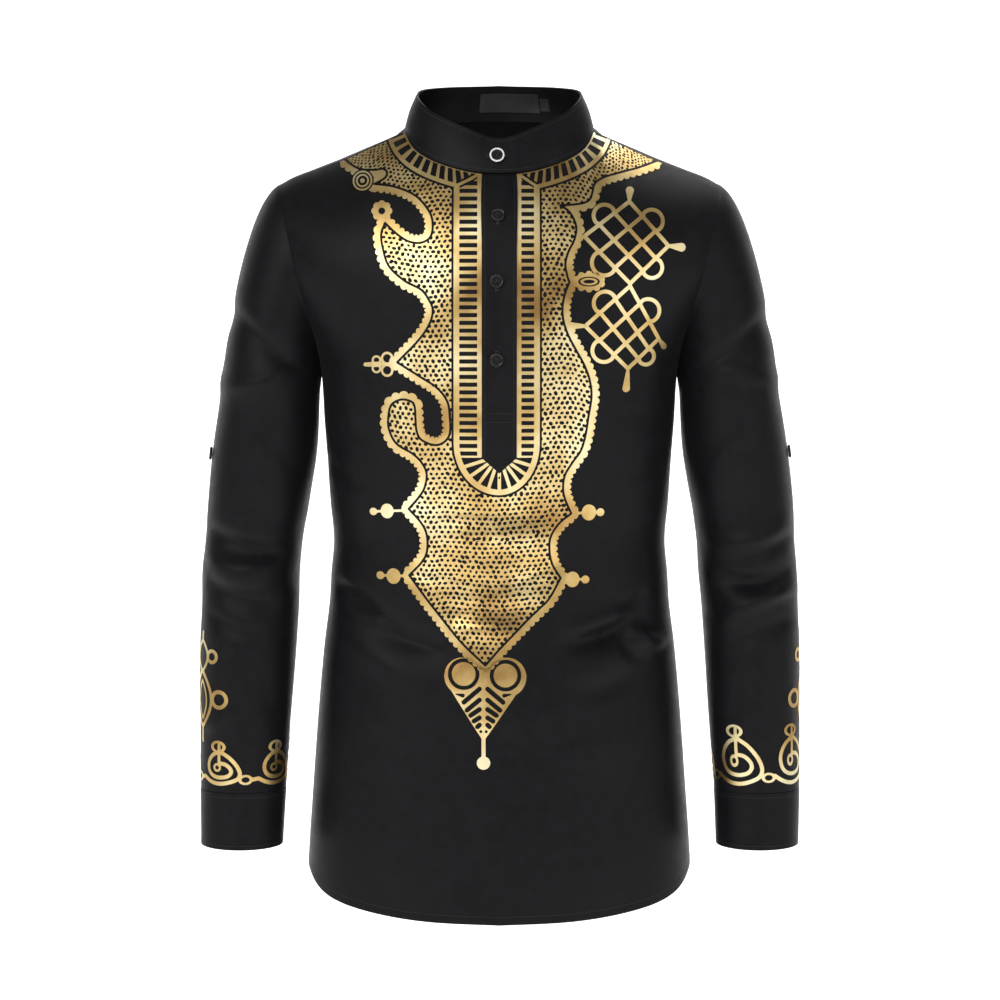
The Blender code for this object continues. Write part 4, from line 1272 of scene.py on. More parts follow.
def near(x, z, line, reach):
    """Distance from each grid point to a line of points, up to reach, and how far along it lies."""
    best, along = np.full(x.shape, float(reach)), np.zeros(x.shape)
    run = 0.0
    for a, b in zip(line[:-1], line[1:]):
        rows = slice(*np.searchsorted(z[:, 0], [min(a[1], b[1]) - reach, max(a[1], b[1]) + reach]))
        columns = slice(*np.searchsorted(x[0], [min(a[0], b[0]) - reach, max(a[0], b[0]) + reach]))
        length = np.hypot(*(b - a))
        px, pz = x[rows, columns] - a[0], z[rows, columns] - a[1]
        t = np.clip((px * (b - a)[0] + pz * (b - a)[1]) / length**2, 0, 1)
        d = np.hypot(px - t * (b - a)[0], pz - t * (b - a)[1])
        closer = d < best[rows, columns]
        best[rows, columns] = np.where(closer, d, best[rows, columns])
        along[rows, columns] = np.where(closer, run + t * length, along[rows, columns])
        run += length
    return best, along


def drawn(x, z, points, width, reach=9.0):
    """A line of this width along a smooth curve through the points."""
    return width / 2 - near(x, z, curve(points), reach)[0]


def within(x, z, line):
    """Whether each grid point lies inside a closed line: it crosses an odd number of sides to its right."""
    inside = np.zeros(x.shape, bool)
    for a, b in zip(line, np.roll(line, -1, axis=0)):
        if a[1] == b[1]:
            continue
        rows = (z > min(a[1], b[1])) & (z <= max(a[1], b[1]))
        inside ^= rows & (x < a[0] + (z - a[1]) * (b[0] - a[0]) / (b[1] - a[1]))
    return inside


def any_of(*forms):
    """Inside any of the forms: the highest of them."""
    return np.maximum.reduce(forms)


def less(form, *holes):
    """A form with holes cut out: the lowest of it and of the holes turned round."""
    return np.minimum.reduce([form, *[-h for h in holes]])


# The print's outline down each side of the front, from the shoulder to the tip, in runs that end at its
# points and hooks. These points, and those of the other figures of the print, were read off the photograph
# by eye, and another script turned them into millimetres.
TIP = (-13.5, -521.5)
LEFT_RUNS = [
    [(-153, -31), (-138, -40.5), (-121.5, -42.2), (-113.5, -41.2), (-109, -44.7), (-111, -50.3), (-121, -56)],
    [(-121, -56), (-100.5, -59), (-80, -68), (-66.8, -83.6), (-63.9, -97.2), (-66.7, -107.6)]
    + [(-75.3, -112.4), (-86.5, -111.4), (-97.7, -104.7), (-110, -93.6)],
    [(-110, -93.6), (-113.5, -104), (-112, -117), (-106, -134.5), (-91, -148.5), (-75, -157)]
    + [(-67, -167.5), (-63.8, -176.5), (-66.5, -189), (-77, -205), (-98, -227)],
    [(-98, -227), (-77, -240), (-60, -251), (-50, -264), (-47.5, -279), (-47.5, -295), (-53, -303.5)]
    + [(-62.5, -306.5), (-75, -301.5), (-79.5, -293), (-80.5, -281.5), (-81.5, -268.5), (-86, -264)]
    + [(-95, -263), (-104, -268.5), (-107, -281.5), (-106, -293), (-99, -306), (-84, -315)]
    + [(-75, -323.5), (-70, -334.5), (-72, -348), (-77.5, -357.5), (-87.5, -369.5)],
    [(-87.5, -369.5), (-75.5, -383), (-70, -395), (-70, -411), (-75.5, -422), (-87.5, -435)],
    [(-87.5, -435), (-62.5, -468), (-36, -500), TIP],
]
RIGHT_RUNS = [
    [(156, -32.5), (137, -39.5), (116.6, -45), (100.4, -50), (92.4, -55.8), (90, -63.8), (87.6, -70.5)]
    + [(81.8, -74.3), (70.8, -76), (58.6, -76.7)],
    [(58.6, -76.7), (66.4, -82), (71.8, -90.5), (74, -99.4), (71.7, -110.3), (66.2, -121.2)]
    + [(63.3, -132.4), (65, -143.3), (67.2, -150)],
    [(67.2, -150), (63, -160.5), (60.5, -174), (61.5, -187), (66, -200.5), (73, -214), (81.5, -229.5)]
    + [(87, -245), (88.5, -260.5), (85.5, -280.5), (83, -297), (78.5, -312), (70.5, -323.5)]
    + [(63, -336.5), (61.5, -350), (64, -361), (69.5, -373.5)],
    [(69.5, -373.5), (57.5, -383.5), (49.5, -396.5), (48.5, -410), (51.5, -423.5), (59.5, -437)],
    [(59.5, -437), (48.5, -456.5), (37.5, -468), (17.5, -487.5), (0, -506), TIP],
]
ABOVE = 40.0  # the closed outline runs this far over the shoulders
BLACK_HALF = 1.1  # half the black line between field and border
BORDER, SCALLOP, SCALLOP_PITCH = 5.0, 3.1, 6.4

LEFT_LINE, RIGHT_LINE = (
    np.concatenate([*[curve(run)[:-1] for run in runs], [TIP]]) for runs in (LEFT_RUNS, RIGHT_RUNS)
)
OUTLINE = np.concatenate(
    [[(-155.0, ABOVE)], LEFT_LINE, RIGHT_LINE[-2::-1], [(158.0, ABOVE)]]
)

# The ladder: how wide it is at each side of the placket and along the neck.
LADDER_LEFT, LADDER_RIGHT, LADDER_NECK = 27.0, 22.0, 18.5
PLACKET_EDGE = 16.8
PLACKET_END, PLACKET_TIP = -318.5, -333.5
ROUND_FROM, ROUND_DEPTH = -305.0, 50.0  # where the ladder's foot starts to curve in, and how deep it is
RUNG, RUNG_PITCH = 3.3, 7.4
INNER_RAIL, OUTER_RAIL = 4.4, 5.4
NECK_INNER, NECK_OUTER, NECK_RUNG = 2.2, 3.9, 2.7  # rails and rungs along the neck
FOOT_RUNGS = 10  # rungs round half a turn under the placket's point
NECK_LEAN, NECK_LEAN_RUN = 0.62, 85.0  # how far the neck's rungs lean, and where that has faded out
MITRE_HALF, MITRE_CLEAR = 1.5, 3.6  # half the bar along a mitre, and how far beside it no rung stands
FIELD_CLEAR = 2.1  # between the ladder and the field

NECK_LINE = neck(np.linspace(-TURN_SHOULDER, TURN_SHOULDER, 81))[:, [0, 2]] * 1000
TOP_X, TOP_Z = FRONT[-1, :, 0] * 1000, FRONT[-1, :, 2] * 1000
HEM_CLEAR = 1.4  # millimetres between the print and a seam


def below_seams(x, z):
    """How far below the neck and shoulder seams each point is."""
    return np.interp(x, TOP_X, TOP_Z) - z - HEM_CLEAR


def ladder_place(x, z):
    """For each point: how far it is across the ladder from the placket or neck, the ladder's width there,
    how far along it lies from the nearest rung, how near a mitre it is, and whether it lies beside the neck
    or round the foot. The foot's outer edge is half an ellipse."""
    beside = np.abs(x) - PLACKET_EDGE
    width_beside = np.where(x < 0, LADDER_LEFT, LADDER_RIGHT)
    slope = (PLACKET_END - PLACKET_TIP) / PLACKET_EDGE
    line = np.array([[-PLACKET_EDGE, PLACKET_END], [0, PLACKET_TIP], [PLACKET_EDGE, PLACKET_END]])
    to_tip, _ = near(x, z, line, 60.0)
    foot = z < PLACKET_END
    under = z < PLACKET_TIP + slope * np.abs(x)
    across = np.where(foot, np.where(under, to_tip, -to_tip), beside)
    half = width_beside + PLACKET_EDGE
    down = np.minimum(z - ROUND_FROM, -1e-6)
    reach = np.hypot(x / half, down / ROUND_DEPTH) + 1e-9
    to_edge = (1 - reach) * reach / np.hypot(x / half**2, down / ROUND_DEPTH**2)
    width = np.where(z < ROUND_FROM, across + to_edge, width_beside)
    pivot = PLACKET_END + 2.0
    turn, radius = np.arctan2(x, pivot - z), np.hypot(x, z - pivot)
    step = np.pi / FOOT_RUNGS
    off_turn = np.abs((turn + step / 2) % step - step / 2)
    off = np.where(foot, off_turn * radius, rung_off(z))
    to_neck, neck_along = near(x, z, NECK_LINE, 60.0)
    share, share_neck = across / np.where(np.abs(width) < 1e-6, 1e-6, width), to_neck / LADDER_NECK
    neckside = (share_neck < share) & (z > ROUND_FROM)
    mitre = np.where(z < ROUND_FROM, 9.0, np.abs(share - share_neck) * LADDER_NECK)
    middle = NECK_LINE.shape[0] // 2
    half_run = np.hypot(*np.diff(NECK_LINE[: middle + 1], axis=0).T).sum()
    from_centre = neck_along - half_run
    lean = NECK_LEAN * np.clip(1 - np.abs(from_centre) / NECK_LEAN_RUN, 0, 1) * np.sign(from_centre)
    across = np.where(neckside, to_neck, across)
    width = np.where(neckside, LADDER_NECK, width)
    off = np.where(neckside, rung_off(from_centre + lean * to_neck), off)
    return across, width, off, mitre, neckside, foot


def rung_off(along):
    """How far each point is from the nearest rung's middle."""
    return np.abs((along + RUNG_PITCH / 2) % RUNG_PITCH - RUNG_PITCH / 2)


def ladder(x, z):
    """Two rails with rungs between them, and a bar along each mitre. The foot has no inner rail, and a
    small hole in its middle rung."""
    across, width, off, mitre, neckside, foot = ladder_place(x, z)
    rail_in = np.where(neckside, NECK_INNER, np.where(foot, 0.0, INNER_RAIL))
    rail_out = np.where(neckside, NECK_OUTER, OUTER_RAIL)
    rung = np.where(neckside, NECK_RUNG, RUNG)
    inner = rail_in / 2 - np.abs(across - rail_in / 2)
    outer = rail_out / 2 - np.abs(across - width + rail_out / 2)
    between = np.minimum(across - 0.4, width - 1 - across)
    rungs = np.minimum(rung / 2 - off, between)
    mitre_bar = MITRE_HALF - mitre
    form = any_of(inner, outer, rungs, np.minimum(mitre_bar, between))
    beside_bar = (mitre < MITRE_CLEAR) & (mitre > MITRE_HALF)
    form = np.where(beside_bar, np.minimum(any_of(inner, outer, mitre_bar), form), form)
    form = np.minimum(form, -disc(x, z, (0, PLACKET_TIP - 4.5), 0.9, 1.6))
    return np.minimum(form, below_seams(x, z))


def outside_share(x, z):
    """Signed distance to the print's outline, above 0 inside, and how far along its sides."""
    left, left_along = near(x, z, LEFT_LINE, 24.0)
    right, right_along = near(x, z, RIGHT_LINE, 24.0)
    d = np.minimum(left, right)
    along = np.where(left < right, left_along, right_along)
    return np.where(within(x, z, OUTLINE), d, -d), along


def seat_on_front(x, z):
    """Row and column numbers on the front's grid of the points seen at (x, z) in millimetres: Newton steps
    on the grid's own cells, from a first guess by height and by share of the width."""
    x, z = x / 1000, z / 1000
    columns, rows = np.arange(FRONT.shape[1]), np.arange(FRONT.shape[0])
    middle = FRONT.shape[1] // 2
    j = np.interp(x, FRONT[ROW_FULL, :, 0], columns)
    low = np.interp(z, FRONT[: ROW_FULL + 1, middle, 2], rows[: ROW_FULL + 1])
    top = np.interp(x, FRONT[-1, :, 0], FRONT[-1, :, 2])
    start = FRONT[ROW_FULL, middle, 2]
    high = ROW_FULL + (len(rows) - 1 - ROW_FULL) * np.clip((z - start) / (top - start), 0, 1)
    i = np.where(z > start, high, low)
    for _ in range(16):
        p = cells(FRONT, i, j)[..., ::2]
        di = cells(FRONT, i + 0.5, j)[..., ::2] - cells(FRONT, i - 0.5, j)[..., ::2]
        dj = cells(FRONT, i, j + 0.5)[..., ::2] - cells(FRONT, i, j - 0.5)[..., ::2]
        det = di[..., 0] * dj[..., 1] - di[..., 1] * dj[..., 0]
        det = np.where(np.abs(det) < 1e-12, 1e-12, det)
        ex, ez = x - p[..., 0], z - p[..., 1]
        i = np.clip(i + np.clip((ex * dj[..., 1] - ez * dj[..., 0]) / det, -6, 6), 0, len(rows) - 1)
        j = np.clip(j + np.clip((ez * di[..., 0] - ex * di[..., 1]) / det, -6, 6), 0, len(columns) - 1)
    return i, j


def on_cloth(x, z):
    """The front's outer face and its normals at (x, z)."""
    i, j = seat_on_front(x, z)
    out = cells(FRONT_OUT, i, j)
    out = out / np.linalg.norm(out, axis=-1, keepdims=True)
    return cells(FRONT, i, j) + out * WALL / 2, out


# Dots of the field: uneven ovals, one in each cell of a slanted lattice on the cloth itself.
DOT_PITCH, DOT_RADIUS = 5.5, 1.62
DOT_JITTER = 0.60
DOT_ROWS = 0.87  # the rows' distance, as a share of the pitch
DOT_SEED = 11


def dots(u, v):
    """Distance outside the nearest dot, its place, size and lean drawn at random once for each cell."""
    draw = np.random.default_rng(DOT_SEED)
    size = (260, 160)
    dx, dz = draw.uniform(-DOT_JITTER, DOT_JITTER, (2, *size))
    radius = DOT_RADIUS * draw.uniform(0.80, 1.12, size)
    lean, long = draw.uniform(0, np.pi, size), draw.uniform(1.05, 1.45, size)
    row = np.floor(v / (DOT_PITCH * DOT_ROWS)).astype(int)
    best = np.full(u.shape, 9.0)
    for di in (-1, 0, 1):
        shift = ((row + di) % 2) * 0.5
        column = np.floor(u / DOT_PITCH - shift).astype(int)
        for dj in (-1, 0, 1):
            i, j = (row + di) % size[0], (column + dj) % size[1]
            cx = (column + dj + 0.5 + shift) * DOT_PITCH + dx[i, j]
            cz = (row + di + 0.5) * DOT_PITCH * DOT_ROWS + dz[i, j]
            a = (u - cx) * np.cos(lean[i, j]) + (v - cz) * np.sin(lean[i, j])
            b = (v - cz) * np.cos(lean[i, j]) - (u - cx) * np.sin(lean[i, j])
            best = np.minimum(best, np.hypot(a / long[i, j], b) - radius[i, j])
    return best


def foil(name, forms, place=on_cloth):
    """One foil piece from several drawn (form, x, z), laid on the cloth."""
    parts = [film(cut_out(f, x, z), place) for f, x, z in forms]
    return piece(name, *together(parts), GOLD_FOIL, "gold_foil", sharp=35)


def field(x, z):
    """Foil inside the outline and outside the ladder, less the dots."""
    inside, _ = outside_share(x, z)
    across, width, *_ = ladder_place(x, z)
    ground = np.minimum(inside - BLACK_HALF, (across - width) - FIELD_CLEAR)
    ground = np.minimum(ground, below_seams(x, z))
    i, j = seat_on_front(x, z)
    run_across, run_up = run_lengths(FRONT)
    runs = np.stack([run_across - run_across[:, [FRONT.shape[1] // 2]], run_up], axis=-1) * 1000
    uv = cells(runs, i, j)
    return np.minimum(ground, dots(uv[..., 0] + 300, uv[..., 1]))


def border(x, z):
    """A band outside the outline with a scalloped edge."""
    inside, along = outside_share(x, z)
    bump = SCALLOP * np.sqrt(np.abs(np.sin(np.pi * along / SCALLOP_PITCH)))
    band_form = np.minimum(-inside - BLACK_HALF, BORDER + bump + inside)
    return np.minimum(band_form, below_seams(x, z))


def petals(x, z, centre, count, reach, radius, flat=1.0):
    """Discs evenly round a centre."""
    turn = 2 * np.pi * np.arange(count) / count
    return any_of(
        *[
            disc(x, z, (centre[0] + reach * np.sin(t), centre[1] + reach * flat * np.cos(t)), radius)
            for t in turn
        ]
    )


def balls(x, z, tip, first, second):
    """A stem from a tip through a large ball to a small one, each (x, z, radius)."""
    stem = bar(x, z, tip, second[:2], 2.4)
    big = disc(x, z, first[:2], first[2], 1.12)
    return any_of(stem, big, disc(x, z, second[:2], second[2]))


DISC_AT = (-133.0, -52.7)
ROSETTE_AT = (-113.3, -82.1)
EYE_AT = (86.0, -149.4)
EYE_DARK = (10.4, 0.46)  # the eye's dark ring: its radius, and its height as a share of that


def curl(x, z):
    """The coiled disc at the hook: three rings round a dot."""
    rings = [loop_line(x, z, DISC_AT, r, 1.7) for r in (8.9, 5.6)]
    return any_of(disc(x, z, DISC_AT, 2.3), *rings)


def rosette(x, z):
    """Eight petals round a hole, on a short stem."""
    body = any_of(petals(x, z, ROSETTE_AT, 8, 6.7, 3.5), disc(x, z, ROSETTE_AT, 6.6))
    return less(body, disc(x, z, ROSETTE_AT, 3.3))


def loops(x, z):
    """Four small loops and a dot beyond the left side's second point."""
    forms = [loop_line(x, z, (-107.8, cz), 5.0, 2.2, 1.05) for cz in (-223.2, -234.8)]
    forms += [loop_line(x, z, (-118.2, cz), 3.7, 2.0) for cz in (-225.2, -233.2)]
    stem = bar(x, z, (-117, -229.2), (-129, -229.6), 5.2, 3.8)
    return any_of(*forms, disc(x, z, (-112.5, -229.0), 2.2), stem)


def eye(x, z):
    """A lens inside a black ring, a gold ring and petals round it, joined to the border."""
    spread_x, spread_z = 12.6, 7.2
    around = petals(x, z, EYE_AT, 10, spread_x, 3.2, spread_z / spread_x)
    body = any_of(disc(x, z, EYE_AT, 13.2, 0.62), around)
    body = less(body, disc(x, z, EYE_AT, *EYE_DARK))
    lens = less(disc(x, z, EYE_AT, 8.4, 0.42), disc(x, z, EYE_AT, 5.6, 0.32))
    return any_of(body, lens)


def finials(x, z):
    """What stands out from the border's points on both sides."""
    left = [
        balls(x, z, (-90, -371), (-108.7, -372.2, 6.4), (-122.2, -373.2, 3.7)),
        balls(x, z, (-90, -435.6), (-102.7, -436.2, 6.8), (-115.6, -436.0, 3.9)),
    ]
    right = [
        balls(x, z, (72, -373.4), (86.6, -372.9, 7.0), (97.8, -373.0, 3.9)),
        balls(x, z, (62, -437.4), (70.9, -438.4, 6.8), (83.4, -438.8, 3.9)),
    ]
    link = bar(x, z, (68, -191.5), (82.4, -191.9), 7.0, 3.2)
    forms = any_of(*left, *right, link, curl(x, z), rosette(x, z), loops(x, z), eye(x, z))
    return np.minimum(forms, below_seams(x, z))


def edge_and_finials(x, z):
    """The border and its finials, kept out of the black line, the curl's and the eye's dark rings."""
    inside, _ = outside_share(x, z)
    dark = any_of(disc(x, z, DISC_AT, 11.2), disc(x, z, EYE_AT, *EYE_DARK))
    line = np.minimum(border(x, z), -dark)
    return any_of(line, np.minimum(finials(x, z), -inside - BLACK_HALF))


# Knots: lines across a four-cornered form at its corners and thirds, both ways, with a loop joining the
# ends of each two inner lines.
KNOT_LINE = 3.7
LOOP_WIDEN, LOOP_OUT = 1.15, 3.8  # a loop against the gap it joins, and how far out its centre lies
UPPER_KNOT = {
    "top": (125.7, -73), "left": (81.5, -106.3), "right": (163.2, -115.4), "bottom": (125.6, -151.3)
}
LOWER_KNOT = {
    "top": (125.6, -153.7), "left": (82.4, -191.9), "right": (154.3, -205), "bottom": (124, -233.6)
}


def knot(x, z, corners):
    """The lines and loops of one knot."""
    top, left, right, bottom = (np.array(corners[k], float) for k in ("top", "left", "right", "bottom"))
    forms = []
    for a0, a1, b0, b1 in ((left, top, bottom, right), (left, bottom, top, right)):
        for t in (0, 1 / 3, 2 / 3, 1):
            forms.append(bar(x, z, a0 + (a1 - a0) * t, b0 + (b1 - b0) * t, KNOT_LINE))
    middle = (top + left + right + bottom) / 4
    for a0, a1 in ((left, top), (top, right), (right, bottom), (bottom, left)):
        a, b = a0 + (a1 - a0) / 3, a0 + (a1 - a0) * 2 / 3
        away = np.array([(a1 - a0)[1], -(a1 - a0)[0]])
        away = away / np.hypot(*away)
        away = away * np.sign(away @ ((a + b) / 2 - middle))
        reach = np.hypot(*(b - a)) / 2 * LOOP_WIDEN
        turn = np.linspace(0, np.pi, 15)[:, None]
        centre = (a + b) / 2 + away * LOOP_OUT
        arc = centre + (a - b) / 2 * LOOP_WIDEN * np.cos(turn) + away * reach * np.sin(turn)
        forms.append(KNOT_LINE / 2 - near(x, z, np.concatenate([[a], arc, [b]]), 9.0)[0])
    return any_of(*forms)


def knots(x, z):
    """Both knots and the drops at their corners."""
    drops = [
        bar(x, z, (125.7, -72), (126.4, -62.5), 3.0, 8.0),
        bar(x, z, (163.5, -115.5), (176.0, -116.8), 3.0, 8.4),
        bar(x, z, (154.6, -205.5), (159.6, -212.6), 2.6, 6.0),
        bar(x, z, (124, -233.6), (122.3, -252.6), 2.6, 7.4),
    ]
    return any_of(knot(x, z, UPPER_KNOT), knot(x, z, LOWER_KNOT), *drops)


# Pendant below the tip.
RIB_X = -15.3
SLOTS = table(
    "inner_z outer outer_z",
    [
        (-543, 19.0, -557),
        (-553.5, 16.0, -564.5),
        (-562.5, 12.5, -569.5),
        (-570.5, 9.3, -575),
        (-577.5, 5.8, -580.5),
    ],
)


def pendant(x, z):
    """Two discs in black rings on a heart that narrows to a stem and ball, with slanted slots beside a
    middle rib."""
    below = [(-53.5, -531), (-50.5, -540), (-17.0, -592.5), (-13.6, -592.5), (23.0, -540), (26.5, -531)]
    above = [(14, -517.5), (0, -518), (-13.5, -524.6), (-28, -517.5), (-42, -517.5)]
    line = np.array(below + above)
    d, _ = near(x, z, np.concatenate([line, line[:1]]), 30.0)
    discs = [disc(x, z, (-35.0, -532), 18.2), disc(x, z, (7.0, -533), 19.2)]
    body = any_of(np.where(within(x, z, line), d, -d), *discs)
    left, right = (-34.5, -529.9), (6.0, -531.2)
    holes = [loop_line(x, z, at, 13.4, 3.8) for at in (left, right)]
    for inner_z, outer, outer_z in zip(*SLOTS.values()):
        for side in (-1, 1):
            holes.append(bar(x, z, (RIB_X + side * 3.9, inner_z - 1.2), (RIB_X + side * outer, outer_z), 4.6))
    holes += [bar(x, z, (RIB_X + s * 20.0, -550.6), (RIB_X + s * 26.5, -549.4), 3.8, 1.2) for s in (-1, 1)]
    holes += [disc(x, z, (RIB_X + s * 2.6, -585.2), 1.5) for s in (-1, 1)]
    stem = any_of(bar(x, z, (RIB_X, -590), (RIB_X, -610), 3.9), disc(x, z, (RIB_X, -616), 6.5))
    inside, _ = outside_share(x, z)
    return np.minimum(less(any_of(body, stem), *holes), -inside - BLACK_HALF)


def halves(name, draw, x0, x1, cuts, pitch):
    """Foil pieces of one drawing, one between each two heights."""
    made = []
    for number, (high, low) in enumerate(zip(cuts[:-1], cuts[1:]), 1):
        x, z = level_grid(x0, x1, low, high, pitch)
        made.append(foil(f"{name}_{number}", [(draw(x, z), x, z)]))
    return made


# Sleeve print, drawn unrolled: millimetres round the sleeve from its front line, and height.
SLEEVE_RADIUS = 43.0
BASE = -646.6  # the lower line of the motifs, just above the cuff seam
MOTIF_PITCH = 60.0
MOTIF_LINE = 3.9
INNER_CURL = [(1, 29.5), (8, 28), (13.5, 23), (15, 17), (11, 11.5), (2, 9), (-7, 10.5), (-13, 15.5)] + [
    (-15.5, 24.5), (-13.5, 33.5), (-8, 41), (-1, 45)
]
OUTER_CURL = [(1, 46), (12, 38.5), (21, 27), (25, 16), (23, 8.5), (16, 4), (5, 0.6)] + [
    (-5, 0.6), (-14, 3.5), (-22, 8.5)
]
# Each sleeve: its first motif round from the front line, the motifs' share of full width and height, and
# where the tall figure on the outside stands. Four more motifs stand on each side of the first.
SLEEVE_PRINTS = {
    -1: {"first": -23.0, "wide": 0.88, "tall": 0.70, "figure": -48.0},
    1: {"first": -22.0, "wide": 1.0, "tall": 1.0, "figure": 67.0},
}


def motif(x, z, stem, wide, tall):
    """A coil under a looped top: an inner and an outer curl, a stem into a small ring, and an eyelet that
    links it to the next."""
    at = lambda points: np.array(points, float) * (wide, tall) + (stem, BASE)
    eyelet = at([(31.5, 6.8)])[0]
    link = np.array([eyelet + (6.0, 0), (stem + MOTIF_PITCH - 22 * wide, BASE + 8.5 * tall)])
    top, ring_at = at([(-1.5, 52.6)])[0], at([(-2.6, 23)])[0]
    return any_of(
        loop_line(x, z, top, 7.4 * wide**0.5, 3.4, 0.70),
        loop_line(x, z, ring_at, 3.4, 2.4, 1.35 * tall),
        loop_line(x, z, eyelet, 5.6, 3.2, 0.70),
        bar(x, z, *at([(0, 56.5), (0, 28.5)]), 3.3),
        bar(x, z, *link, MOTIF_LINE),
        drawn(x, z, at(INNER_CURL), MOTIF_LINE),
        drawn(x, z, at(OUTER_CURL), MOTIF_LINE),
    )


def leaf(x, z, axis, high, low, half, width):
    """Two lines that bow apart from one end and meet at the other."""
    t = np.linspace(0, 1, 25)
    bow = half * np.sin(np.pi * t) ** 0.85
    sides = [np.stack([axis + s * bow, high + (low - high) * t], axis=-1) for s in (-1, 1)]
    return any_of(*[width / 2 - near(x, z, line, 8.0)[0] for line in sides])


def tall_figure(x, z, axis):
    """Leaves one over another with rings on both sides, on a stem."""
    forms = [
        leaf(x, z, axis, -506, -537, 9.5, 3.0),
        leaf(x, z, axis, -536, -592, 15.0, 3.6),
        leaf(x, z, axis, -546, -584, 7.6, 2.4),
        bar(x, z, (axis, -591), (axis, -606), 3.4),
        bar(x, z, (axis, -506), (axis, -498), 3.2),
    ]
    for side in (-1, 1):
        forms.append(loop_line(x, z, (axis + side * 24.5, -563), 7.8, 3.9))
        forms.append(loop_line(x, z, (axis + side * 15.5, -521), 5.6, 3.5))
    return any_of(*forms)


def sleeve_place(side):
    """The place on one sleeve's outer face of a drawn point, and its normal there."""
    points, out = (np.concatenate([g, g[:, :1]], axis=1) for g in SLEEVES[side])

    def place(x, z):
        """Round the sleeve by x over its radius, down it by z, and half a wall out."""
        q = 0.5 + side * x / SLEEVE_RADIUS / np.pi
        r = 1 + (LEVEL_BICEPS - z / 1000) / (LEVEL_BICEPS - LEVEL_CUFF)
        i, j = np.interp(r, DOWN, np.arange(len(DOWN))), q / 2 * len(ROUND)
        n = cells(out, i, j)
        n = n / np.linalg.norm(n, axis=-1, keepdims=True)
        return cells(points, i, j) + n * WALL / 2, n

    return place


def sleeve_print(side):
    """A sleeve's motifs all round it and the tall figure, stopped short of the underarm seam."""
    ends = sorted(side * (q - 0.5) * np.pi * SLEEVE_RADIUS for q in (0, 2))
    x, z = level_grid(ends[0], ends[1], -656, -494, 0.65)
    given = SLEEVE_PRINTS[side]
    forms = [
        motif(x, z, given["first"] + k * MOTIF_PITCH, given["wide"], given["tall"]) for k in range(-4, 5)
    ]
    f = any_of(*forms, tall_figure(x, z, given["figure"]))
    return np.minimum(f, np.minimum(x - ends[0], ends[1] - x) - HEM_CLEAR), x, z


PRINT_LEFT, PRINT_RIGHT = -172.0, 182.0
FIELD_CUTS = (-2.0, -170.0, -300.0, -400.0, -524.0)
gold = halves("print_field", field, PRINT_LEFT, PRINT_RIGHT, FIELD_CUTS, 0.9)
gold += halves("print_border", edge_and_finials, PRINT_LEFT, PRINT_RIGHT, (-2.0, -250.0, -532.0), 0.75)
gold += halves("print_ladder", ladder, -118.0, 118.0, (2.0, -200.0, -360.0), 0.75)
gold += halves("print_knots", knots, 74.0, 182.0, (-54.0, -258.0), 0.75)
gold += halves("print_pendant", pendant, -60.0, 34.0, (-506.0, -626.0), 0.6)
for name, side in (("left", -1), ("right", 1)):
    foil("print_sleeve_" + name, [sleeve_print(side)], sleeve_place(side))


# Stitching.
def outer_line(points, out, wall):
    """The outer face: half a wall out from the cloth's middle."""
    return points + out * wall / 2


def buttonhole(line, out, at, length=0.0165):
    """Close stitches on both sides of a slot along a line of cloth points, centred beside a point, with a
    bar across each end."""
    run = np.concatenate([[0], np.cumsum(np.linalg.norm(np.diff(line, axis=0), axis=1))])
    middle = run[np.argmin(np.linalg.norm(line - at, axis=1))]
    read = lambda where, what: np.stack([np.interp(where, run, what[:, i]) for i in range(3)], axis=-1)
    where = np.arange(middle - length / 2, middle + length / 2, 0.00052)
    p, n = read(where, line), read(where, out)
    along = read(where + 0.0004, line) - p
    side = np.cross(n, along)
    side = side / np.linalg.norm(side, axis=1, keepdims=True)
    half = len(p) // 2
    p = p + side * ((at - p[half]) @ side[half])
    near_slot, far = 0.00025, 0.00155
    parts = [bars(p + side * s * near_slot, p + side * s * far, n, 0.0005, 0.1) for s in (-1, 1)]
    ends = [0, -1]
    parts.append(bars(p[ends] - side[ends] * far, p[ends] + side[ends] * far, n[ends], 0.0007, 0.1))
    return together(parts)


stitches = {}


def sewn(name, parts):
    """One piece of black thread."""
    stitches[name] = piece("stitches_" + name, *together(parts), BLACK_THREAD, "thread")
    return stitches[name]


HEM_ROW = 2
for name, grid, out in (("front", FRONT, FRONT_OUT), ("back", BACK, BACK_OUT)):
    inside = slice(2, -2)
    sewn("hem_" + name, [seam_stitches(outer_line(grid, out, WALL)[HEM_ROW, inside], out[HEM_ROW, inside])])

placket_face = outer_line(PLACKET, PLACKET_OUT, WALL)
CROSS_STITCH_Z = (-0.2755, -0.2840)


def level_line(what, z):
    """The placket's face or normals at one height, a point for each column but the outer ones."""
    columns = range(1, PLACKET.shape[1] - 1)
    return np.array([[np.interp(z, PLACKET[:, c, 2], what[:, c, k]) for k in range(3)] for c in columns])


parts = [seam_stitches(placket_face[:, c], PLACKET_OUT[:, c]) for c in (1, -2)]
parts += [seam_stitches(level_line(placket_face, z), level_line(PLACKET_OUT, z)) for z in CROSS_STITCH_Z]
for made in buttons[::2]:
    seat_point = np.array(made.data.vertices[0].co)
    parts.append(buttonhole(placket_face[:, 6], PLACKET_OUT[:, 6], seat_point))
sewn("placket", parts)

band_face = outer_line(BAND, BAND_OUT, BAND_WALL)
parts = [seam_stitches(band_face[row], BAND_OUT[row]) for row in (1, -2)]
parts.append(buttonhole(band_face[6], BAND_OUT[6], np.array(collar_button[0].data.vertices[0].co), 0.0185))
sewn("collar_band", parts)

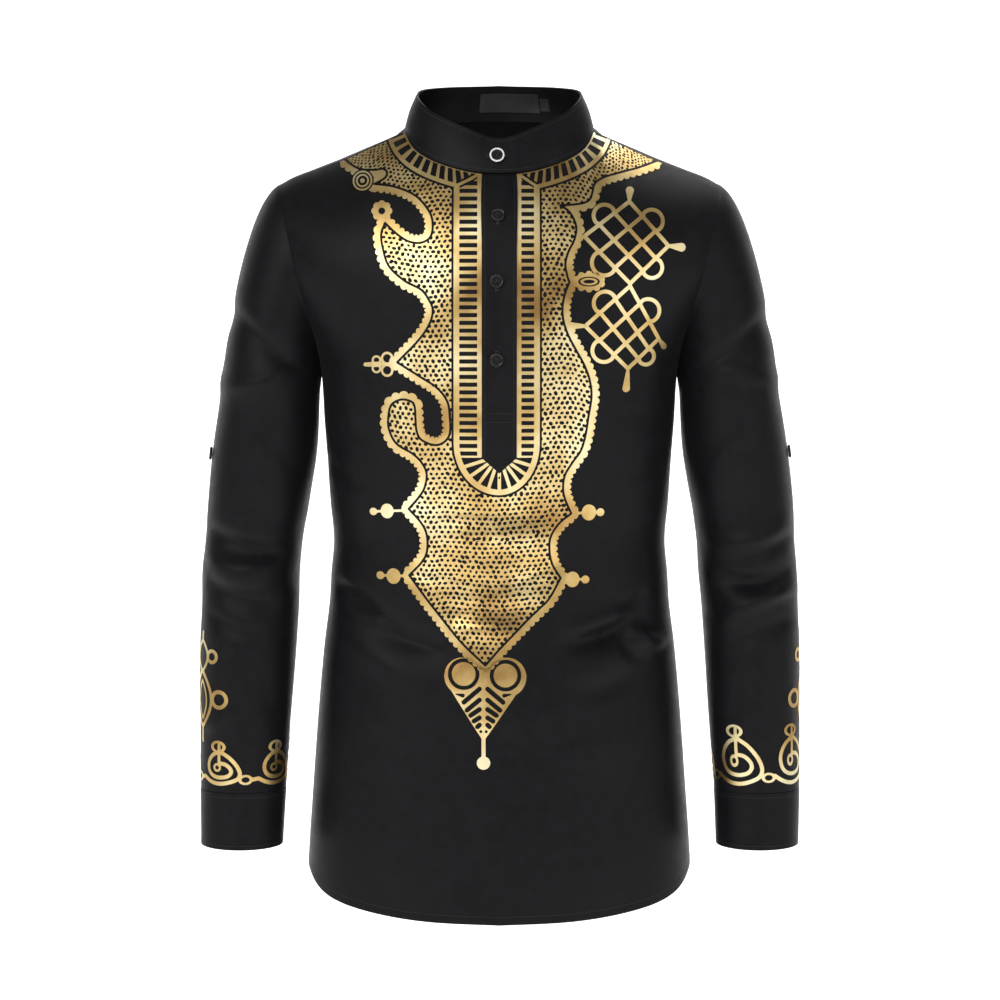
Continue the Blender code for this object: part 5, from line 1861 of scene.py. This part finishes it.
for name, side in (("left", -1), ("right", 1)):
    grid, out = CUFF_GRIDS[side]
    face = outer_line(grid, out, CUFF_WALL)
    sewn("cuff_" + name, [seam_stitches(face[row], out[row]) for row in (1, -2)])

# A loop over the two sides that only names each side.
for side in (-1, 1):
    name = "left" if side < 0 else "right"


# Camera, lights and a pale floor that curves up behind.
def studio_material():
    """A pale matt paint."""
    made = bpy.data.materials.new("pale_floor")
    made.use_nodes = True
    shader = made.node_tree.nodes["Principled BSDF"]
    shader.inputs["Base Color"].default_value = (0.90, 0.90, 0.90, 1)
    shader.inputs["Roughness"].default_value = 0.9
    shader.inputs["Specular IOR Level"].default_value = 0.1
    shader.inputs["Emission Color"].default_value = (1, 1, 1, 1)
    shader.inputs["Emission Strength"].default_value = 0.90
    return made


FLOOR_Z, WALL_Y, COVE = -1.30, 4.6, 0.8


def floor():
    """A level floor and an upright wall joined by a quarter circle, as one profile carried along x."""
    turn = np.linspace(0, np.pi / 2, 17)
    y = np.concatenate([[-7.0], WALL_Y - COVE + COVE * np.sin(turn), [WALL_Y]])
    z = np.concatenate([[FLOOR_Z], FLOOR_Z + COVE * (1 - np.cos(turn)), [3.0]])
    points = np.concatenate([join(x, y, z) for x in (-5.0, 5.0)])
    k, n = np.arange(len(y) - 1), len(y)
    faces = np.stack([k, k + n, k + n + 1, k + 1], axis=-1)
    mesh = bpy.data.meshes.new("floor")
    mesh.from_pydata(points.tolist(), [], faces.tolist())
    mesh.shade_smooth()
    mesh.materials.append(studio_material())
    made = bpy.data.objects.new("floor", mesh)
    bpy.context.collection.objects.link(made)


def aim(made, at, target):
    """Puts an object at one place with its -Z towards another."""
    made.location = at
    made.rotation_euler = (Vector(target) - Vector(at)).to_track_quat("-Z", "Y").to_euler()
    bpy.context.collection.objects.link(made)
    return made


def soft_light(name, at, target, width, height, watts):
    """A rectangular area light aimed at a place."""
    lamp = bpy.data.lights.new(name, "AREA")
    lamp.shape = "RECTANGLE"
    lamp.size, lamp.size_y, lamp.energy = width, height, watts
    aim(bpy.data.objects.new(name, lamp), at, target)


floor()
CHEST = (0.0, 0.0, -0.37)
soft_light("key", (-1.6, -2.6, 1.3), CHEST, 1.7, 1.7, 60)
soft_light("fill", (2.2, -2.4, 0.5), CHEST, 1.6, 2.0, 22)
soft_light("rim", (0.9, 1.0, 1.5), CHEST, 1.2, 0.6, 10)
world = bpy.data.worlds.new("studio")
world.use_nodes = True
world.node_tree.nodes["Background"].inputs["Color"].default_value = (1, 1, 1, 1)
world.node_tree.nodes["Background"].inputs["Strength"].default_value = 0.24
bpy.context.scene.world = world
bpy.context.scene.view_settings.view_transform = "Standard"

CAMERA_AT, CAMERA_AIM = (0.0, -3.2, -0.10), (0.0, 0.0, -0.369)
SENSOR, FOCAL = 36.0, 115.6
camera = bpy.data.cameras.new("camera")
camera.sensor_width, camera.lens, camera.shift_x = SENSOR, FOCAL, 0.0007
bpy.context.scene.camera = aim(bpy.data.objects.new("camera", camera), CAMERA_AT, CAMERA_AIM)
